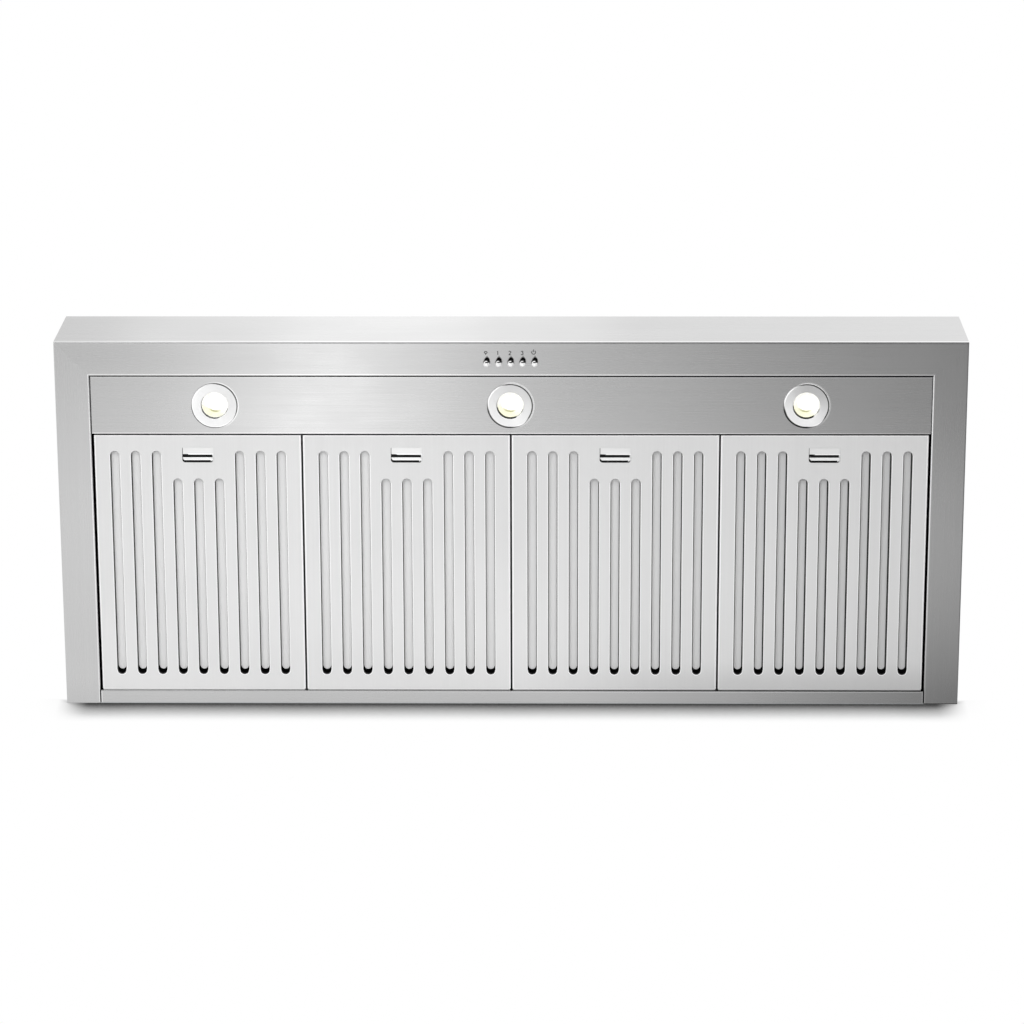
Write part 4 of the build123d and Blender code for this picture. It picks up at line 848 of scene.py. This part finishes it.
# Downlights: dished silver trim round a dark throat, a lit cup inside it, and a ribbed can
LIGHT_XS = (-LIGHT_SPACING, 0, LIGHT_SPACING)
DISH_STEPS = 12
RIB_COUNT = 6
RIB_PITCH = 3.2
LENS_SHIFT = (-0.45, -0.2)
SILVER, SHADE, WALL = 0, 1, 2
WHITE, YELLOW, OLIVE, CAN, BRIM = 0, 1, 2, 3, 4
for number, light_x in enumerate(LIGHT_XS, start=1):
    ring_centre = (light_x + RING_SHIFT, LIGHT_Y)
    rings = [(30.6, 2.78, SILVER)] + arc(29.8, 2.2, 1.4, 0, -90, 10, SILVER)
    for step in range(1, DISH_STEPS + 1):
        share = step / DISH_STEPS
        rings.append((29.8 - 11.3 * share, 0.8 + 1.2 * share ** 1.5, SILVER))
    # The SHADE bands, the deep wall of the throat and the back of the ring, are near black as
    # painted shade
    rings += [(18.38, 2.2, WALL), (18.35, 2.5, WALL), (18.35, 7.6, SHADE), (18.5, 11.0, SHADE),
              (20.1, 11.0, SHADE), (20.1, 7.0, SHADE), (27.4, 7.0, SHADE), (27.4, 2.78, SHADE),
              (30.6, 2.78, SHADE)]
    mesh = lathe(f"light_{number}_ring", ring_centre, rings, 128)
    ring = add_piece(f"light_{number}_ring", mesh, "hood",
                     ("trim_satin", "black_plastic", "lamp_throat"))
    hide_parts(f"light_{number}_trim")

    inside = (light_x + LENS_SHIFT[0], LIGHT_Y + LENS_SHIFT[1])
    cup = [(0, 14.9, WHITE), (4.5, 14.95, WHITE), (8.5, 15.1, WHITE), (9.9, 15.4, OLIVE),
           (11.0, 15.6, OLIVE), (12.6, 15.4, YELLOW), (13.4, 13.4, YELLOW), (14.8, 10.0, YELLOW),
           (16.6, 7.0, YELLOW), (17.25, 6.2, BRIM), (17.4, 6.0, BRIM), (17.8, 6.0, BRIM),
           (17.9, 6.2, CAN), (17.9, 10.2, CAN), (15.2, 17.4, CAN), (0, 17.4, CAN)]
    mesh = lathe(f"light_{number}_cup", inside, cup, 96)
    lens = add_piece(f"light_{number}_cup", mesh, "hood",
                     ("lamp_white", "lamp_yellow", "lamp_olive", "lamp_aluminium", "lamp_throat"))
    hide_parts(f"light_{number}_lens")

    can = [(0, 17.6, 0), (15.6, 17.6, 0), (18.2, 11.3, 0), (20.6, 11.3, 0), (20.6, 7.2, 0),
           (26.4, 7.0, 0), (27.0, 7.6, 0)]
    for rib in range(RIB_COUNT):
        foot = 13.0 + RIB_PITCH * rib
        can += [(27.0, foot, 0), (26.7, foot + 0.3, 0), (25.2, foot + 0.5, 0),
                (25.2, foot + 1.5, 0), (26.7, foot + 1.7, 0), (27.0, foot + 2.0, 0)]
    can += [(27.0, 34.0, 0), (26.0, 35.0, 0), (8, 35.0, 0), (7, 34.4, 0), (0, 34.4, 0)]
    mesh = lathe(f"light_{number}_can", (light_x, LIGHT_Y), can, 96)
    body = add_piece(f"light_{number}_can", mesh, "hood", ("lamp_aluminium",))
    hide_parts(f"light_{number}_body")


# Stage: pale floor just behind the hood's back, seen from its own side only
FLOOR_HALF = 14
FLOOR_LEVEL = 0.0006
CONTACT_REACH = 0.075
TOUCHING = 0.003
BELL_BASE = 2.718


def add_floor():
    size, level = FLOOR_HALF, FLOOR_LEVEL
    mesh = bpy.data.meshes.new("floor")
    mesh.from_pydata(
        [(-size, level, -size), (size, level, -size), (size, level, size), (-size, level, size)],
        [], [(0, 1, 2, 3)],
    )
    floor = bpy.data.objects.new("floor", mesh)
    bpy.context.scene.collection.objects.link(floor)
    material = bpy.data.materials.new("floor")
    material.use_nodes = True
    tree = Tree(material.node_tree)
    tree.tree.nodes.remove(tree.tree.nodes["Principled BSDF"])
    path = tree.node("ShaderNodeLightPath")
    place = tree.split(tree.node("ShaderNodeTexCoord").outputs["Object"])

    # What the steel shows of the floor: a pool of light on the left, darker to the right
    across = tree.ramp(
        tree.spread(place["X"], -1.0, 1.0),
        [(0.0, 0.92), (0.28, 0.92), (0.5, 0.80), (0.65, 0.64), (0.8, 0.40), (0.9, 0.31),
         (1.0, 0.25)],
    )
    depth = tree.ramp(
        tree.spread(place["Z"], -1.8, 0.0),
        [(0.0, 0.66), (0.15, 0.74), (0.31, 0.93), (0.5, 0.99), (0.72, 0.97), (0.94, 0.93),
         (1.0, 0.84)],
    )
    sweep = tree.product(across, depth)

    def bell(socket, middle, width):
        """Bell curve about a line across the floor."""
        off = tree.math("DIVIDE", tree.math("SUBTRACT", place[socket], middle), width)
        return tree.math("POWER", BELL_BASE, tree.product(off, off, -1.0))

    near = tree.product(tree.spread(place["Z"], -0.35, -0.05),
                        tree.spread(place["X"], 0.1, 0.6, 0, 0.3))
    sweep = tree.product(sweep, tree.math("SUBTRACT", 1.0, near))
    ahead = tree.spread(place["Z"], -1.35, -0.3, 1, 0)
    stripe = tree.product(bell("X", -0.345, 0.14), ahead)
    pool = tree.math("MULTIPLY_ADD", stripe, 1.4, sweep)
    for in_x, in_z, strength in (((0.70, 0.2), (-0.85, 0.35), 0.2),
                                 ((0.28, 0.45), (-1.36, 0.20), 0.15),
                                 ((0.05, 0.30), (-0.60, 0.45), 0.25)):
        aside = tree.product(bell("X", *in_x), bell("Z", *in_z))
        pool = tree.math("MULTIPLY_ADD", aside, strength, pool)
    gloss = tree.node("ShaderNodeEmission")
    tree.link(pool, gloss.inputs["Strength"])

    # What the camera sees: white, with the narrow shadow where the hood touches the floor
    shadow = tree.node("ShaderNodeAmbientOcclusion", samples=16)
    shadow.inputs["Distance"].default_value = CONTACT_REACH
    contact = tree.ramp(
        shadow.outputs["AO"],
        [(0.50, 0.05), (0.58, 0.085), (0.603, 0.127), (0.703, 0.34), (0.768, 0.47),
         (0.825, 0.555), (0.873, 0.665), (0.917, 0.807), (0.956, 0.947), (0.99, 1.0)],
    )
    reach = tree.math("ABSOLUTE", place["X"])
    beyond = tree.math("POWER", tree.spread(reach, 0.580, 0.622), 1.3)
    beyond = tree.math("MULTIPLY_ADD", beyond, 0.93, tree.spread(reach, 0.61, 0.66, 0, 0.07))
    behind = tree.spread(place["Z"], 0.001, 0.018)
    beyond = tree.math("MAXIMUM", beyond, tree.math("POWER", behind, 0.6))
    contact = tree.mix(beyond, contact, grey(1))
    seen = tree.node("ShaderNodeEmission")
    tree.link(contact, seen.inputs["Color"])
    diffuse = tree.node("ShaderNodeBsdfDiffuse")
    diffuse.inputs["Color"].default_value = (0.85, 0.85, 0.85, 1)

    def choose(factor, off_shader, on_shader):
        made = tree.node("ShaderNodeMixShader")
        tree.link(factor, made.inputs[0])
        tree.link(off_shader.outputs[0], made.inputs[1])
        tree.link(on_shader.outputs[0], made.inputs[2])
        return made

    looked = choose(path.outputs["Is Camera Ray"], diffuse, seen)
    looked = choose(path.outputs["Is Glossy Ray"], looked, gloss)
    under = tree.node("ShaderNodeNewGeometry").outputs["Backfacing"]
    touching = tree.math("LESS_THAN", path.outputs["Ray Length"], TOUCHING)
    clear = tree.node("ShaderNodeBsdfTransparent")
    looked = choose(tree.math("MAXIMUM", under, touching), looked, clear)
    tree.link(looked.outputs[0], tree.tree.nodes["Material Output"].inputs["Surface"])
    mesh.materials.append(material)


add_floor()


# Soft studio light. The steel sees a pale room behind and above, and a dim one behind the camera
world = bpy.data.worlds.new("studio")
bpy.context.scene.world = world
world.use_nodes = True
sky = Tree(world.node_tree)
background = world.node_tree.nodes["Background"]
direction = sky.split(sky.node("ShaderNodeTexCoord").outputs["Generated"])
behind = sky.ramp(
    sky.spread(direction["X"], -0.4, 0.4),
    [(0.0, 0.72), (0.32, 0.80), (0.44, 0.95), (0.56, 0.99), (0.68, 1.06), (1.0, 1.0)],
)
horizon = sky.ramp(
    sky.spread(direction["X"], -0.5, 0.5),
    [(0.0, 0.75), (0.37, 0.80), (0.44, 1.20), (0.48, 0.80), (0.55, 0.55), (0.59, 0.36),
     (0.65, 0.30), (1.0, 0.40)],
)
ahead = sky.mix(sky.spread(direction["Y"], -0.12, -0.32), horizon, grey(0.03))
ahead = sky.mix(sky.spread(direction["X"], -0.30, -0.50), ahead, grey(0.8))
ahead = sky.mix(sky.spread(direction["Y"], -0.72, -0.88), ahead, grey(1.25))
room = sky.mix(sky.spread(direction["Z"], -0.45, 0.1), ahead, behind)
paths = sky.node("ShaderNodeLightPath")
soft = sky.mix(paths.outputs["Is Glossy Ray"], grey(0.74), room)
sky.put(background.inputs["Color"], sky.mix(paths.outputs["Is Camera Ray"], soft, grey(1.0)))
background.inputs["Strength"].default_value = 1


def add_lamp(name, place, aim, size, power, mirrored=False):
    data = bpy.data.lights.new(name, "AREA")
    data.shape = "RECTANGLE"
    data.size, data.size_y = size
    data.energy = power
    lamp = bpy.data.objects.new(name, data)
    bpy.context.scene.collection.objects.link(lamp)
    lamp.location = place
    lamp.rotation_mode = "QUATERNION"
    lamp.rotation_quaternion = (Vector(aim) - Vector(place)).to_track_quat("-Z", "Y")
    lamp.visible_glossy = mirrored
    lamp.visible_diffuse = not mirrored
    lamp.visible_camera = False


add_lamp("key", (-1.0, -2.2, -3.2), (0, -0.3, 0), (2.4, 2.4), 58)
add_lamp("fill", (1.8, -2.2, -2.6), (0, -0.3, 0), (2.6, 2.6), 24)
add_lamp("top", (-0.4, -2.4, 2.4), (0, -0.3, 0.2), (3.0, 2.0), 48)
add_lamp("back", (0.5, 2.4, 1.2), (0, -0.2, 0.2), (3.0, 2.0), 36)
add_lamp("sheen", (-0.27, -0.89, 1.31), (-0.19, -0.51, 0.07), (0.78, 0.9), 0.375, mirrored=True)
add_lamp("gleam", (-0.25, -0.89, 1.31), (-0.19, -0.51, 0.07), (0.32, 0.9), 0.118, mirrored=True)

bpy.context.scene.view_settings.view_transform = "Standard"
